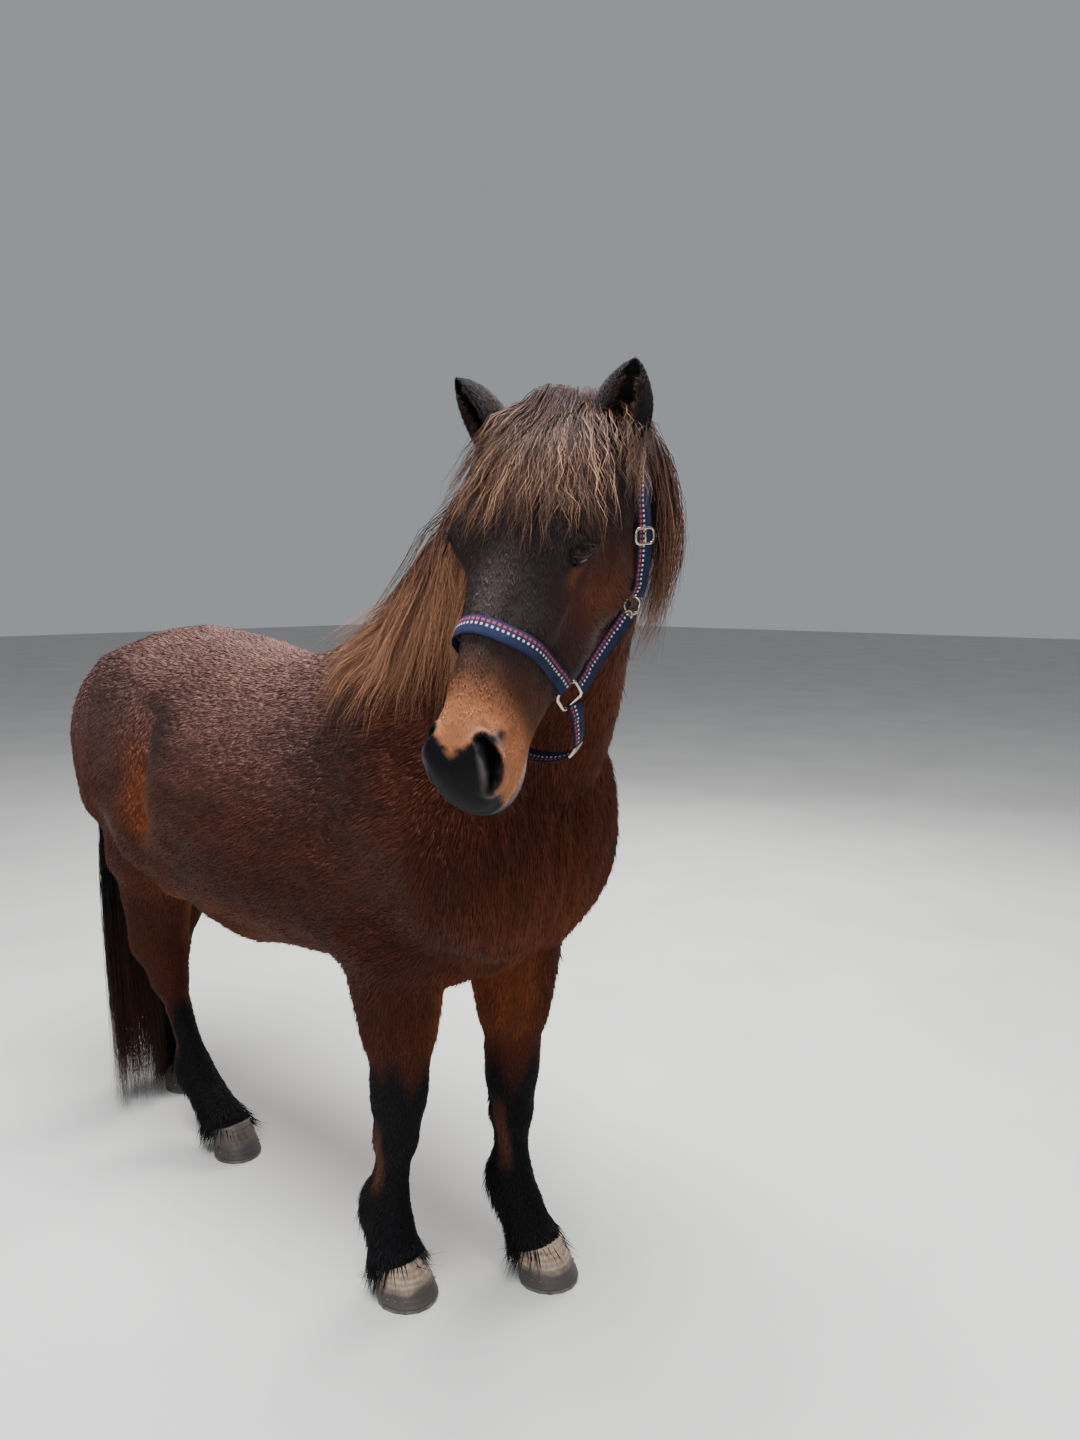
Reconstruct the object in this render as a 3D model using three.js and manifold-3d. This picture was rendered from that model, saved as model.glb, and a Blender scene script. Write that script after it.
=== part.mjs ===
import * as THREE from "three";
import Module from "manifold-3d";

const wasm = await Module();
wasm.setup();
const { Manifold, Mesh: SolidMesh } = wasm;

// Driving sizes in millimetres. The horse faces -Y, its left side is +X, the floor is z = 0.
const GAP = 0.3;
const SHOE_HEIGHT = 8;
const POLL = [-270, -478, 1678];
const HEAD_TURN = -83;
const HEAD_TILT = 4.8;
const HEAD_PITCH = 64;
const EYE_RADIUS = 21;
const STRAP_WIDTH = 22;
const STRAP_THICKNESS = 4;
const STRAP_CLEARANCE = 3;
const RING_WIRE = 2.6;
const NOSEBAND_PLACE = 341;
const CHIN_SLACK = 84;
const MOUTH_HEIGHT = -80;
const EAR_LENGTH = 119;
const THROAT_BACK = 24;
const THROAT_HEIGHT = -226;
const MANE_LOCKS = 44;
const FORELOCK_LOCKS = 11;
const TAIL_LOCKS = 22;
const FOREARM_CUT = 650;
const GASKIN_CUT = 640;
const GASKIN_CUT_SLOPE = 0.35;

// Moves the finished model so that the middle of its box stands over the origin
const MIDDLE_X = 121;
const MIDDLE_Y = -428.5;

// Colours from the photograph
const COAT = 0x4a322b;
const COAT_DARK = 0x2c2020;
const HAIR = 0x3b2823;
const HORN = 0xa48d7c;
const STEEL = 0x9a9690;
const WEBBING = 0x1d2748;
const NICKEL = 0xb7a995;
const EYE = 0x120c0a;

const up = new THREE.Vector3(0, 0, 1);
const front = new THREE.Vector3(0, -1, 0);

// A small seeded generator keeps every lock in the same place each time
let seed = 7;
function random() {
  seed = (seed * 16807) % 2147483647;
  return seed / 2147483647;
}
function spread(low, high) {
  return low + (high - low) * random();
}
function mix(a, b, t) {
  return a + (b - a) * t;
}

// Smooth values between rows of numbers, t runs from 0 to rows.length - 1
function between(rows, t) {
  const last = rows.length - 1;
  const place = Math.min(Math.max(t, 0), last);
  const i = Math.min(Math.floor(place), last - 1);
  const f = place - i;
  const before = rows[Math.max(i - 1, 0)];
  const a = rows[i];
  const b = rows[i + 1];
  const after = rows[Math.min(i + 2, last)];
  return a.map((value, k) => {
    const slopeA = (b[k] - before[k]) / 2;
    const slopeB = (after[k] - value) / 2;
    const h = b[k] - value;
    const c = 3 * h - 2 * slopeA - slopeB;
    const d = slopeA + slopeB - 2 * h;
    return value + f * (slopeA + f * (c + f * d));
  });
}

// The value in one column of rows that are ordered by their first column
function lookUp(rows, key) {
  const rising = rows[rows.length - 1][0] > rows[0][0];
  for (let i = 0; i < rows.length - 1; i += 1) {
    const a = rows[i][0];
    const b = rows[i + 1][0];
    const inside = rising ? key <= b : key >= b;
    if (inside || i === rows.length - 2) {
      return between(rows, i + (key - a) / (b - a));
    }
  }
  return rows[0];
}

function smoothLow(a, b, width) {
  const h = Math.max(width - Math.abs(a - b), 0) / width;
  return Math.min(a, b) - (h * h * width) / 4;
}

// A rounded muscle mass: an ellipsoid about a centre, turned about X by tilt degrees
function mass(centre, radii, tilt = 0, width = 60) {
  const turn = THREE.MathUtils.degToRad(tilt);
  const cosine = Math.cos(turn);
  const sine = Math.sin(turn);
  return {
    width,
    distance(p) {
      const x = p.x - centre[0];
      const y0 = p.y - centre[1];
      const z0 = p.z - centre[2];
      const y = y0 * cosine + z0 * sine;
      const z = -y0 * sine + z0 * cosine;
      const k0 = Math.hypot(x / radii[0], y / radii[1], z / radii[2]);
      const k1 = Math.hypot(x / radii[0] ** 2, y / radii[1] ** 2, z / radii[2] ** 2);
      return k1 < 1e-9 ? -Math.min(...radii) : (k0 * (k0 - 1)) / k1;
    },
  };
}

// A form swept along stations. Each station holds
// x, y, z, rise, fall, half width, squareness of the rise, squareness of the fall, turn in degrees
class Form {
  constructor(stations, options = {}) {
    this.stations = stations;
    this.masses = options.masses ?? [];
    this.fixed = options.fixed ?? false;
    this.rise = options.rise ?? up;
    this.grow = options.grow ?? 0;
    this.spans = options.spans ?? false;
    this.samples = [];
    const count = (stations.length - 1) * 6;
    for (let i = 0; i <= count; i += 1) {
      this.samples.push(this.frame((i / count) * (stations.length - 1)));
    }
  }

  frame(t) {
    if (this.spans) {
      return this.spanFrame(t);
    }
    const row = between(this.stations, t);
    const step = 0.02;
    const ahead = between(this.stations, Math.min(t + step, this.stations.length - 1));
    const back = between(this.stations, Math.max(t - step, 0));
    const along = new THREE.Vector3(ahead[0] - back[0], ahead[1] - back[1], ahead[2] - back[2]);
    along.normalize();
    const turn = THREE.MathUtils.degToRad(row[8] ?? 0);
    const side = new THREE.Vector3(Math.cos(turn), -Math.sin(turn), 0);
    const rise = this.rise.clone();
    if (this.fixed) {
      along.crossVectors(side, rise).normalize();
    } else {
      side.addScaledVector(along, -side.dot(along)).normalize();
      const across = new THREE.Vector3().crossVectors(along, side).normalize();
      if (across.dot(rise) < 0) {
        across.negate();
      }
      rise.copy(across);
    }
    return { t, row, centre: new THREE.Vector3(row[0], row[1], row[2]), along, side, rise };
  }

  // A frame between a point on the crest and a point on the underline
  spanFrame(t) {
    const [ax, ay, az, bx, by, bz, half, above, below, turn] = between(this.stations, t);
    const crest = new THREE.Vector3(ax, ay, az);
    const under = new THREE.Vector3(bx, by, bz);
    const centre = crest.clone().add(under).multiplyScalar(0.5);
    const depth = crest.distanceTo(under) / 2;
    const rise = crest.clone().sub(under).normalize();
    const heading = THREE.MathUtils.degToRad(turn);
    const side = new THREE.Vector3(Math.cos(heading), -Math.sin(heading), 0);
    side.addScaledVector(rise, -side.dot(rise)).normalize();
    const along = new THREE.Vector3().crossVectors(rise, side).normalize();
    const row = [centre.x, centre.y, centre.z, depth, depth, half, above, below, turn];
    return { t, row, centre, along, side, rise };
  }

  reach(row, cosine, sine) {
    const height = sine >= 0 ? row[3] : row[4];
    const power = sine >= 0 ? row[6] : row[7];
    const sum = Math.abs(cosine / row[5]) ** power + Math.abs(sine / height) ** power;
    return sum ** (-1 / power);
  }

  section(frame, p) {
    const offset = p.clone().sub(frame.centre);
    const a = offset.dot(frame.side);
    const b = offset.dot(frame.rise);
    const r = Math.max(Math.hypot(a, b), 1e-6);
    return { a, b, r, axial: offset.dot(frame.along), gap: r - this.reach(frame.row, a / r, b / r) };
  }

  // Approximate distance from the surface, negative inside
  distance(p) {
    let best = this.samples[0];
    let least = Infinity;
    for (const sample of this.samples) {
      const d = sample.centre.distanceToSquared(p);
      if (d < least) {
        least = d;
        best = sample;
      }
    }
    const here = this.section(best, p);
    let d = here.gap;
    const last = this.samples.length - 1;
    const atEnd = best === this.samples[0] || best === this.samples[last];
    if (atEnd) {
      const over = Math.abs(here.axial);
      const outward = best === this.samples[0] ? here.axial < 0 : here.axial > 0;
      d = outward ? Math.hypot(Math.max(d, 0), over) : d;
    }
    for (const m of this.masses) {
      d = smoothLow(d, m.distance(p), m.width);
    }
    return d;
  }

  // The point on the surface at place t and angle in radians from the side
  surface(t, angle, frame = this.frame(t)) {
    const cosine = Math.cos(angle);
    const sine = Math.sin(angle);
    const direction = frame.side.clone().multiplyScalar(cosine).addScaledVector(frame.rise, sine);
    const base = this.reach(frame.row, cosine, sine);
    let radius = base;
    if (this.masses.length > 0) {
      const p = new THREE.Vector3();
      const value = (s) => {
        p.copy(frame.centre).addScaledVector(direction, s);
        let d = s - base;
        for (const m of this.masses) {
          d = smoothLow(d, m.distance(p), m.width);
        }
        return d;
      };
      let low = base * 0.9;
      let high = low;
      while (value(high) < 0 && high < 700) {
        low = high;
        high += 6;
      }
      for (let k = 0; k < 18; k += 1) {
        const middle = (low + high) / 2;
        if (value(middle) < 0) {
          low = middle;
        } else {
          high = middle;
        }
      }
      radius = high;
    }
    return frame.centre.clone().addScaledVector(direction, radius + this.grow);
  }

  // A closed solid with rings at the given places
  solid(places, spokes) {
    const rings = places.map((t) => {
      const frame = this.frame(t);
      const ring = [];
      for (let j = 0; j < spokes; j += 1) {
        ring.push(this.surface(t, (j / spokes) * Math.PI * 2, frame));
      }
      return ring;
    });
    return closedRings(rings);
  }
}

// Joins rings of points into a closed solid whose ends are closed by fans
function closedRings(rings) {
  const points = [];
  const faces = [];
  const spokes = rings[0].length;
  for (const ring of rings) {
    for (const p of ring) {
      points.push(p.x, p.y, p.z);
    }
  }
  for (let i = 0; i < rings.length - 1; i += 1) {
    for (let j = 0; j < spokes; j += 1) {
      const next = (j + 1) % spokes;
      const a = i * spokes + j;
      const b = i * spokes + next;
      const c = (i + 1) * spokes + j;
      const d = (i + 1) * spokes + next;
      faces.push(a, b, d, a, d, c);
    }
  }
  const ends = [0, rings.length - 1];
  for (const end of ends) {
    const middle = new THREE.Vector3();
    for (const p of rings[end]) {
      middle.addScaledVector(p, 1 / spokes);
    }
    const centre = points.length / 3;
    points.push(middle.x, middle.y, middle.z);
    for (let j = 0; j < spokes; j += 1) {
      const a = end * spokes + j;
      const b = end * spokes + ((j + 1) % spokes);
      if (end === 0) {
        faces.push(centre, b, a);
      } else {
        faces.push(centre, a, b);
      }
    }
  }
  return solidOf(points, faces);
}

function solidOf(points, faces) {
  const volume = signedVolume(points, faces);
  const triangles = volume < 0 ? flipped(faces) : faces;
  const mesh = new SolidMesh({
    numProp: 3,
    vertProperties: new Float32Array(points),
    triVerts: new Uint32Array(triangles),
  });
  return new Manifold(mesh);
}

function signedVolume(points, faces) {
  let volume = 0;
  const a = new THREE.Vector3();
  const b = new THREE.Vector3();
  const c = new THREE.Vector3();
  for (let i = 0; i < faces.length; i += 3) {
    a.fromArray(points, faces[i] * 3);
    b.fromArray(points, faces[i + 1] * 3);
    c.fromArray(points, faces[i + 2] * 3);
    volume += a.dot(b.cross(c));
  }
  return volume / 6;
}

function flipped(faces) {
  const result = [];
  for (let i = 0; i < faces.length; i += 3) {
    result.push(faces[i], faces[i + 2], faces[i + 1]);
  }
  return result;
}

// A solid from a three.js geometry
function fromGeometry(geometry) {
  const points = [];
  const faces = [];
  const seen = new Map();
  const position = geometry.attributes.position;
  const index = geometry.index ? geometry.index.array : [...Array(position.count).keys()];
  const slot = (i) => {
    const key = [position.getX(i), position.getY(i), position.getZ(i)].map((n) => n.toFixed(3)).join();
    if (!seen.has(key)) {
      seen.set(key, points.length / 3);
      points.push(position.getX(i), position.getY(i), position.getZ(i));
    }
    return seen.get(key);
  };
  for (let i = 0; i < index.length; i += 3) {
    const a = slot(index[i]);
    const b = slot(index[i + 1]);
    const c = slot(index[i + 2]);
    if (a !== b && b !== c && a !== c) {
      faces.push(a, b, c);
    }
  }
  return solidOf(points, faces);
}

function box(low, high) {
  const size = high.map((value, i) => value - low[i]);
  const geometry = new THREE.BoxGeometry(...size);
  geometry.translate(...high.map((value, i) => (value + low[i]) / 2));
  return fromGeometry(geometry);
}

function largest(solid) {
  const pieces = solid.decompose();
  let best = pieces[0];
  for (const piece of pieces) {
    if (piece.volume() > best.volume()) {
      best = piece;
    }
  }
  return best;
}

function join(first, others) {
  let result = first;
  for (const other of others) {
    result = result.add(other);
  }
  return largest(result);
}

function steps(from, to, count) {
  return Array.from({ length: count + 1 }, (_, i) => mix(from, to, i / count));
}

// Torso rows: y, top, bottom, height of the widest line, half width, squareness above and below
const TORSO_ROWS = [
  [-236, 1055, 935, 1000, 54, 2, 2],
  [-220, 1100, 885, 1000, 116, 2, 2],
  [-190, 1140, 835, 1000, 168, 2, 2],
  [-152, 1180, 800, 1000, 200, 2, 2],
  [-104, 1235, 775, 1000, 210, 2.1, 2.2],
  [-40, 1310, 708, 1000, 236, 2.1, 2.3],
  [40, 1364, 672, 990, 232, 2, 2.3],
  [130, 1392, 660, 975, 232, 1.8, 2.2],
  [230, 1378, 645, 960, 250, 1.8, 2.2],
  [340, 1334, 632, 950, 262, 2, 2.1],
  [460, 1302, 622, 945, 276, 2.1, 2.1],
  [580, 1298, 622, 945, 281, 2.1, 2.1],
  [700, 1311, 634, 955, 276, 2.1, 2.1],
  [810, 1336, 664, 975, 260, 2.1, 2.1],
  [910, 1356, 706, 1005, 250, 2.1, 2.1],
  [1010, 1366, 766, 1040, 246, 2, 2.1],
  [1110, 1356, 836, 1065, 242, 2, 2.1],
  [1200, 1324, 896, 1080, 224, 2, 2.1],
  [1272, 1268, 940, 1080, 192, 2, 2.1],
  [1318, 1200, 980, 1080, 138, 2, 2],
  [1344, 1130, 1030, 1080, 66, 2, 2],
];

function torsoForm(grow = 0) {
  const stations = TORSO_ROWS.map(([y, top, bottom, middle, half, above, below]) => [
    0, y, middle, top - middle, middle - bottom, half, above, below, 0,
  ]);
  const masses = [];
  for (const side of [-1, 1]) {
    // The right hind leg stands forward of the left one
    const step = side < 0 ? -50 : 15;
    masses.push(mass([side * 160, 60, 1060], [84, 125, 230], -18, 60));
    masses.push(mass([side * 150, -104, 950], [110, 104, 172], 0, 70));
    masses.push(mass([side * 96, -164, 1090], [86, 56, 120], 0, 70));
    masses.push(mass([side * 68, -128, 860], [72, 66, 118], 0, 60));
    masses.push(mass([side * 142, 100, 770], [84, 126, 125], 0, 70));
    masses.push(mass([side * 174, 1035, 1130], [94, 205, 170], 0, 70));
    masses.push(mass([side * 152, 1170, 1010], [98, 158, 185], 0, 70));
    masses.push(mass([side * 156, 1000 + step, 880], [90, 132, 130], 0, 60));
    masses.push(mass([side * 106, 1125 + step, 850], [80, 125, 130], 0, 60));
  }
  masses.push(mass([0, -132, 925], [110, 66, 140], 0, 70));
  masses.push(mass([0, 150, 1352], [42, 130, 44], 0, 60));
  return new Form(stations, { masses, rise: up, grow });
}

// Leg rows: z, reach to the front, reach to the back, half width
const FORE_ROWS = [
  [880, 92, 96, 54],
  [800, 118, 112, 78],
  [740, 114, 110, 82],
  [680, 100, 96, 77],
  [600, 82, 78, 66],
  [530, 68, 62, 58],
  [480, 59, 52, 55],
  [440, 58, 50, 55],
  [405, 53, 51, 52],
  [360, 42, 46, 41],
  [300, 37, 44, 36],
  [240, 37, 48, 36],
  [200, 42, 60, 41],
  [168, 47, 66, 46],
  [135, 46, 58, 46],
  [105, 49, 50, 50],
  [80, 58, 52, 58],
  [62, 62, 54, 62],
  [40, 60, 54, 61],
];
const HIND_ROWS = [
  [1020, 130, 140, 62],
  [950, 145, 150, 74],
  [880, 145, 148, 84],
  [810, 130, 132, 84],
  [740, 106, 108, 75],
  [670, 84, 88, 66],
  [610, 72, 76, 58],
  [565, 66, 72, 54],
  [525, 63, 76, 54],
  [485, 60, 68, 54],
  [445, 54, 54, 49],
  [390, 44, 47, 41],
  [300, 39, 45, 36],
  [225, 39, 49, 36],
  [180, 44, 60, 41],
  [148, 48, 66, 46],
  [120, 46, 56, 46],
  [98, 50, 49, 50],
  [78, 56, 50, 55],
  [62, 58, 51, 58],
  [40, 57, 51, 57],
];

// How each leg stands: rows of z, x and y for its middle line, from the top down
const POSES = {
  foreleg_right: [
    [880, -130, 92], [740, -132, 100], [600, -130, 100], [440, -130, 98], [300, -131, 112],
    [168, -132, 134], [105, -132, 122], [62, -133, 107], [40, -133, 103],
  ],
  foreleg_left: [
    [880, 130, 56], [740, 128, 32], [600, 120, 20], [440, 114, 16], [300, 110, 12],
    [168, 107, 0], [105, 107, -34], [62, 107, -62], [40, 107, -71],
  ],
  hindleg_right: [
    [1020, -142, 1070], [880, -136, 1056], [740, -118, 1054], [610, -98, 1084], [525, -86, 1106],
    [485, -82, 1106], [445, -79, 1096], [300, -68, 1052], [148, -58, 978], [98, -54, 914],
    [62, -52, 868], [40, -52, 856],
  ],
  hindleg_left: [
    [1020, 138, 1130], [880, 132, 1140], [740, 116, 1180], [610, 92, 1252], [525, 80, 1308],
    [485, 74, 1324], [445, 72, 1330], [300, 66, 1344], [148, 61, 1356], [98, 60, 1330],
    [62, 60, 1306], [40, 60, 1300],
  ],
};

function legForm(name) {
  const rows = name.startsWith("fore") ? FORE_ROWS : HIND_ROWS;
  const pose = POSES[name];
  const stations = rows.map(([z, toFront, toBack, half]) => {
    const [, x, y] = lookUp(pose, z);
    return [x, y, z, toFront, toBack, half, 2.2, 2.2, 0];
  });
  return new Form(stations, { rise: front, fixed: true });
}

// A tilted plane through the coronet: above it is the leg, below it the hoof
function coronetPlane(name) {
  const [, x, y] = lookUp(POSES[name], 62);
  const normal = new THREE.Vector3(0, 0.34, 1).normalize();
  return { normal, point: new THREE.Vector3(x, y, 60) };
}

function hoofSolid(name) {
  const fore = name.startsWith("fore");
  const [, x, y] = lookUp(POSES[name], 40);
  const half = fore ? 62 : 57;
  const length = fore ? 68 : 64;
  const rows = [
    [100, -20, 0.74], [74, -8, 0.82], [55, 2, 0.885], [40, 8, 0.93], [22, 15, 0.98],
    [SHOE_HEIGHT + GAP, 20, 1.02],
  ];
  const rings = rows.map(([z, ahead, scale]) => {
    const ring = [];
    for (let j = 0; j < 18; j += 1) {
      const angle = (j / 18) * Math.PI * 2;
      const sine = Math.sin(angle);
      const round = Math.cos(angle) * half * scale * (sine < 0 ? 1 - 0.16 * sine * sine : 1);
      const reach = sine > 0 ? length : length * 0.86;
      ring.push(new THREE.Vector3(x + round, y - ahead - sine * reach * scale, z));
    }
    return ring;
  });
  return closedRings(rings);
}

function shoeSolid(name) {
  const fore = name.startsWith("fore");
  const [, x, y] = lookUp(POSES[name], 40);
  const half = (fore ? 62 : 57) * 1.02;
  const length = (fore ? 68 : 64) * 1.02;
  const outer = [];
  const inner = [];
  for (let i = 0; i <= 14; i += 1) {
    const angle = mix(-0.36, 1.36, i / 14) * Math.PI;
    const low = Math.sin(angle) < 0;
    const narrow = low ? 1 - 0.16 * Math.sin(angle) ** 2 : 1;
    const reach = low ? length * 0.86 : length;
    outer.push([Math.cos(angle) * half * narrow, Math.sin(angle) * reach]);
    inner.push([Math.cos(angle) * (half - 20) * narrow, Math.sin(angle) * (reach - 22)]);
  }
  const outline = [...outer, ...inner.reverse()];
  const shape = new THREE.Shape(outline.map(([a, b]) => new THREE.Vector2(x + a, y - 20 - b)));
  const geometry = new THREE.ExtrudeGeometry(shape, { depth: SHOE_HEIGHT, bevelEnabled: false });
  return fromGeometry(geometry);
}

// Neck rows: a point on the crest, a point on the underline, half width, squareness, turn
const NECK_ROWS = [
  [0, 150, 1366, 0, -40, 820, 160, 1.8, 2.1, 0],
  [0, 70, 1430, 4, -150, 950, 178, 1.8, 2.1, 0],
  [-4, -15, 1512, 20, -240, 1070, 160, 1.7, 2.3, 2],
  [-16, -100, 1586, 4, -308, 1180, 120, 1.7, 2.2, 8],
  [-46, -190, 1644, -42, -366, 1284, 94, 1.7, 2.1, 20],
  [-94, -280, 1686, -98, -424, 1384, 88, 1.7, 2.1, 36],
  [-154, -362, 1708, -164, -466, 1468, 90, 1.8, 2.1, 52],
  [-214, -426, 1706, -238, -488, 1534, 84, 1.9, 2.1, 66],
  [-258, -464, 1688, -292, -500, 1578, 64, 2, 2.1, 74],
];

function neckForm() {
  return new Form(NECK_ROWS, { spans: true });
}

// Head rows, measured from the poll along the face: place, middle, rise, fall, half width, squareness
const HEAD_ROWS = [
  [-30, -30, 46, 84, 62, 2, 2],
  [0, -14, 54, 146, 80, 2.2, 2],
  [45, 0, 60, 186, 98, 2.4, 2],
  [95, 8, 64, 214, 106, 2.5, 1.9],
  [150, 14, 60, 218, 106, 2.4, 1.9],
  [195, 13, 56, 208, 98, 2.2, 2],
  [245, 6, 56, 184, 80, 2, 2.2],
  [295, -2, 56, 162, 68, 1.9, 2.3],
  [345, -10, 56, 138, 60, 1.9, 2.3],
  [395, -16, 54, 116, 56, 1.9, 2.3],
  [437, -20, 52, 102, 56, 2, 2.3],
  [475, -24, 52, 94, 60, 2.2, 2.4],
  [508, -30, 50, 92, 62, 2.3, 2.4],
  [540, -38, 44, 76, 55, 2.3, 2.3],
  [562, -46, 31, 50, 41, 2.1, 2.1],
  [572, -50, 16, 26, 21, 2, 2],
];
const EYE_PLACE = [87, -212, 26];

function headForm(grow = 0) {
  const stations = HEAD_ROWS.map(([a, middle, rise, fall, half, above, below]) => [
    0, -a, middle, rise, fall, half, above, below, 0,
  ]);
  const masses = [];
  for (const side of [-1, 1]) {
    masses.push(mass([side * 80, -206, 46], [28, 42, 25], 8, 22));
    masses.push(mass([side * 58, -266, -6], [24, 80, 16], -8, 24));
    masses.push(mass([side * 72, -140, -88], [40, 98, 98], 0, 30));
    masses.push(mass([side * 42, -100, -150], [26, 62, 44], 0, 30));
    masses.push(mass([side * 33, -494, -12], [29, 44, 29], -20, 20));
    masses.push(mass([side * 72, -34, 34], [34, 40, 34], 0, 24));
  }
  masses.push(mass([0, -325, 42], [28, 150, 14], 6, 24));
  masses.push(mass([0, -512, -106], [40, 48, 30], 0, 18));
  return new Form(stations, { masses, rise: up, grow, fixed: true });
}

const headMatrix = new THREE.Matrix4()
  .makeTranslation(...POLL)
  .multiply(new THREE.Matrix4().makeRotationZ(THREE.MathUtils.degToRad(HEAD_TURN)))
  .multiply(new THREE.Matrix4().makeRotationY(THREE.MathUtils.degToRad(HEAD_TILT)))
  .multiply(new THREE.Matrix4().makeRotationX(THREE.MathUtils.degToRad(HEAD_PITCH)));
const headInverse = headMatrix.clone().invert();

function placeOnHead(solid) {
  return solid.transform(headMatrix.elements);
}

// Where a point beside the head sits on its surface, as place and angle
function headPlace(x, y, z) {
  const [, middle] = lookUp(HEAD_ROWS, -y);
  let t = 0;
  for (let i = 0; i < HEAD_ROWS.length - 1; i += 1) {
    if (-y >= HEAD_ROWS[i][0]) {
      t = i + Math.min((-y - HEAD_ROWS[i][0]) / (HEAD_ROWS[i + 1][0] - HEAD_ROWS[i][0]), 1);
    }
  }
  return { t, angle: Math.atan2(z - middle, x) };
}

// The surface point of the head nearest to a point beside it, lifted by some height
function onHead(p, lift) {
  const { t, angle } = headPlace(p.x, p.y, p.z);
  const frame = head.frame(t);
  const q = head.surface(t, angle, frame);
  const out = q.clone().sub(frame.centre).normalize();
  return q.addScaledVector(out, lift);
}

// A flat strap that lies on the head along a path of points beside it
function strapSolid(path, width, options = {}) {
  const clearance = options.clearance ?? STRAP_CLEARANCE;
  const closed = options.closed ?? false;
  const curve = new THREE.CatmullRomCurve3(path, closed, "centripetal");
  const count = options.count ?? 16;
  const total = closed ? count : count + 1;
  const rings = [];
  for (let i = 0; i < total; i += 1) {
    const f = i / count;
    const point = curve.getPointAt(f);
    const along = curve.getTangentAt(f);
    const slack = options.slack ? options.slack(f) : 0;
    const base = onHead(point, 0);
    const { t } = headPlace(point.x, point.y, point.z);
    const centre = head.frame(t).centre;
    const out = base.clone().sub(centre).normalize();
    const across = new THREE.Vector3().crossVectors(along, out).normalize();
    const edgeA = onHead(base.clone().addScaledVector(across, -width / 2), clearance + slack);
    const edgeB = onHead(base.clone().addScaledVector(across, width / 2), clearance + slack);
    const middle = onHead(base, clearance + slack);
    const flat = edgeA.clone().add(edgeB).multiplyScalar(0.5);
    const bulge = Math.max(middle.clone().sub(flat).dot(out), 0);
    edgeA.addScaledVector(out, bulge);
    edgeB.addScaledVector(out, bulge);
    rings.push([
      edgeA,
      edgeB,
      edgeB.clone().addScaledVector(out, STRAP_THICKNESS),
      edgeA.clone().addScaledVector(out, STRAP_THICKNESS),
    ]);
  }
  return closed ? loopRings(rings) : closedRings(rings);
}

// Joins rings of points into a closed loop
function loopRings(rings) {
  const points = [];
  const faces = [];
  const count = rings.length;
  const spokes = rings[0].length;
  for (const ring of rings) {
    for (const p of ring) {
      points.push(p.x, p.y, p.z);
    }
  }
  for (let i = 0; i < count; i += 1) {
    const following = (i + 1) % count;
    for (let j = 0; j < spokes; j += 1) {
      const next = (j + 1) % spokes;
      const a = i * spokes + j;
      const b = i * spokes + next;
      const c = following * spokes + j;
      const d = following * spokes + next;
      faces.push(a, b, d, a, d, c);
    }
  }
  return solidOf(points, faces);
}

// A square ring of round wire that lies flat on the head over the straps
function ringSolid(x, y, z, size, lift, grow = 0) {
  const base = onHead(new THREE.Vector3(x, y, z), lift);
  const { t } = headPlace(x, y, z);
  const out = base.clone().sub(head.frame(t).centre).normalize();
  const half = size / 2;
  const shape = new THREE.Shape();
  const wire = RING_WIRE + grow;
  const outer = half + wire;
  const inner = half - wire;
  const corner = 6;
  shape.moveTo(-outer + corner, -outer);
  shape.lineTo(outer - corner, -outer);
  shape.lineTo(outer, -outer + corner);
  shape.lineTo(outer, outer - corner);
  shape.lineTo(outer - corner, outer);
  shape.lineTo(-outer + corner, outer);
  shape.lineTo(-outer, outer - corner);
  shape.lineTo(-outer, -outer + corner);
  const hole = new THREE.Path();
  hole.moveTo(-inner, -inner);
  hole.lineTo(-inner, inner);
  hole.lineTo(inner, inner);
  hole.lineTo(inner, -inner);
  shape.holes.push(hole);
  const geometry = new THREE.ExtrudeGeometry(shape, { depth: wire * 2, bevelEnabled: false });
  geometry.translate(0, 0, -grow);
  const turn = new THREE.Quaternion().setFromUnitVectors(new THREE.Vector3(0, 0, 1), out);
  const matrix = new THREE.Matrix4().compose(base, turn, new THREE.Vector3(1, 1, 1));
  geometry.applyMatrix4(matrix);
  return fromGeometry(geometry);
}

// A flat tapered lock through the given points, lying flat against the given outward directions
function lock(points, outward, width, thickness) {
  const rings = [];
  const count = points.length;
  for (let i = 0; i < count; i += 1) {
    const before = points[Math.max(i - 1, 0)];
    const after = points[Math.min(i + 1, count - 1)];
    const along = after.clone().sub(before).normalize();
    const out = outward[i].clone().addScaledVector(along, -outward[i].dot(along)).normalize();
    const across = new THREE.Vector3().crossVectors(along, out).normalize();
    const f = i / (count - 1);
    const taper = Math.max(Math.min(0.3 + f * 2.2, 1) * (1 - f ** 3), 0.08);
    const w = (width / 2) * taper;
    const h = (thickness / 2) * Math.max(taper, 0.3);
    const p = points[i];
    rings.push([
      p.clone().addScaledVector(across, -w),
      p.clone().addScaledVector(out, -h),
      p.clone().addScaledVector(across, w),
      p.clone().addScaledVector(out, h),
    ]);
  }
  return closedRings(rings);
}

function slope(form, p) {
  const e = 3;
  const at = (x, y, z) => form.distance(new THREE.Vector3(p.x + x, p.y + y, p.z + z));
  const normal = new THREE.Vector3(
    at(e, 0, 0) - at(-e, 0, 0),
    at(0, e, 0) - at(0, -e, 0),
    at(0, 0, e) - at(0, 0, -e),
  );
  return normal.normalize();
}

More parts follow.
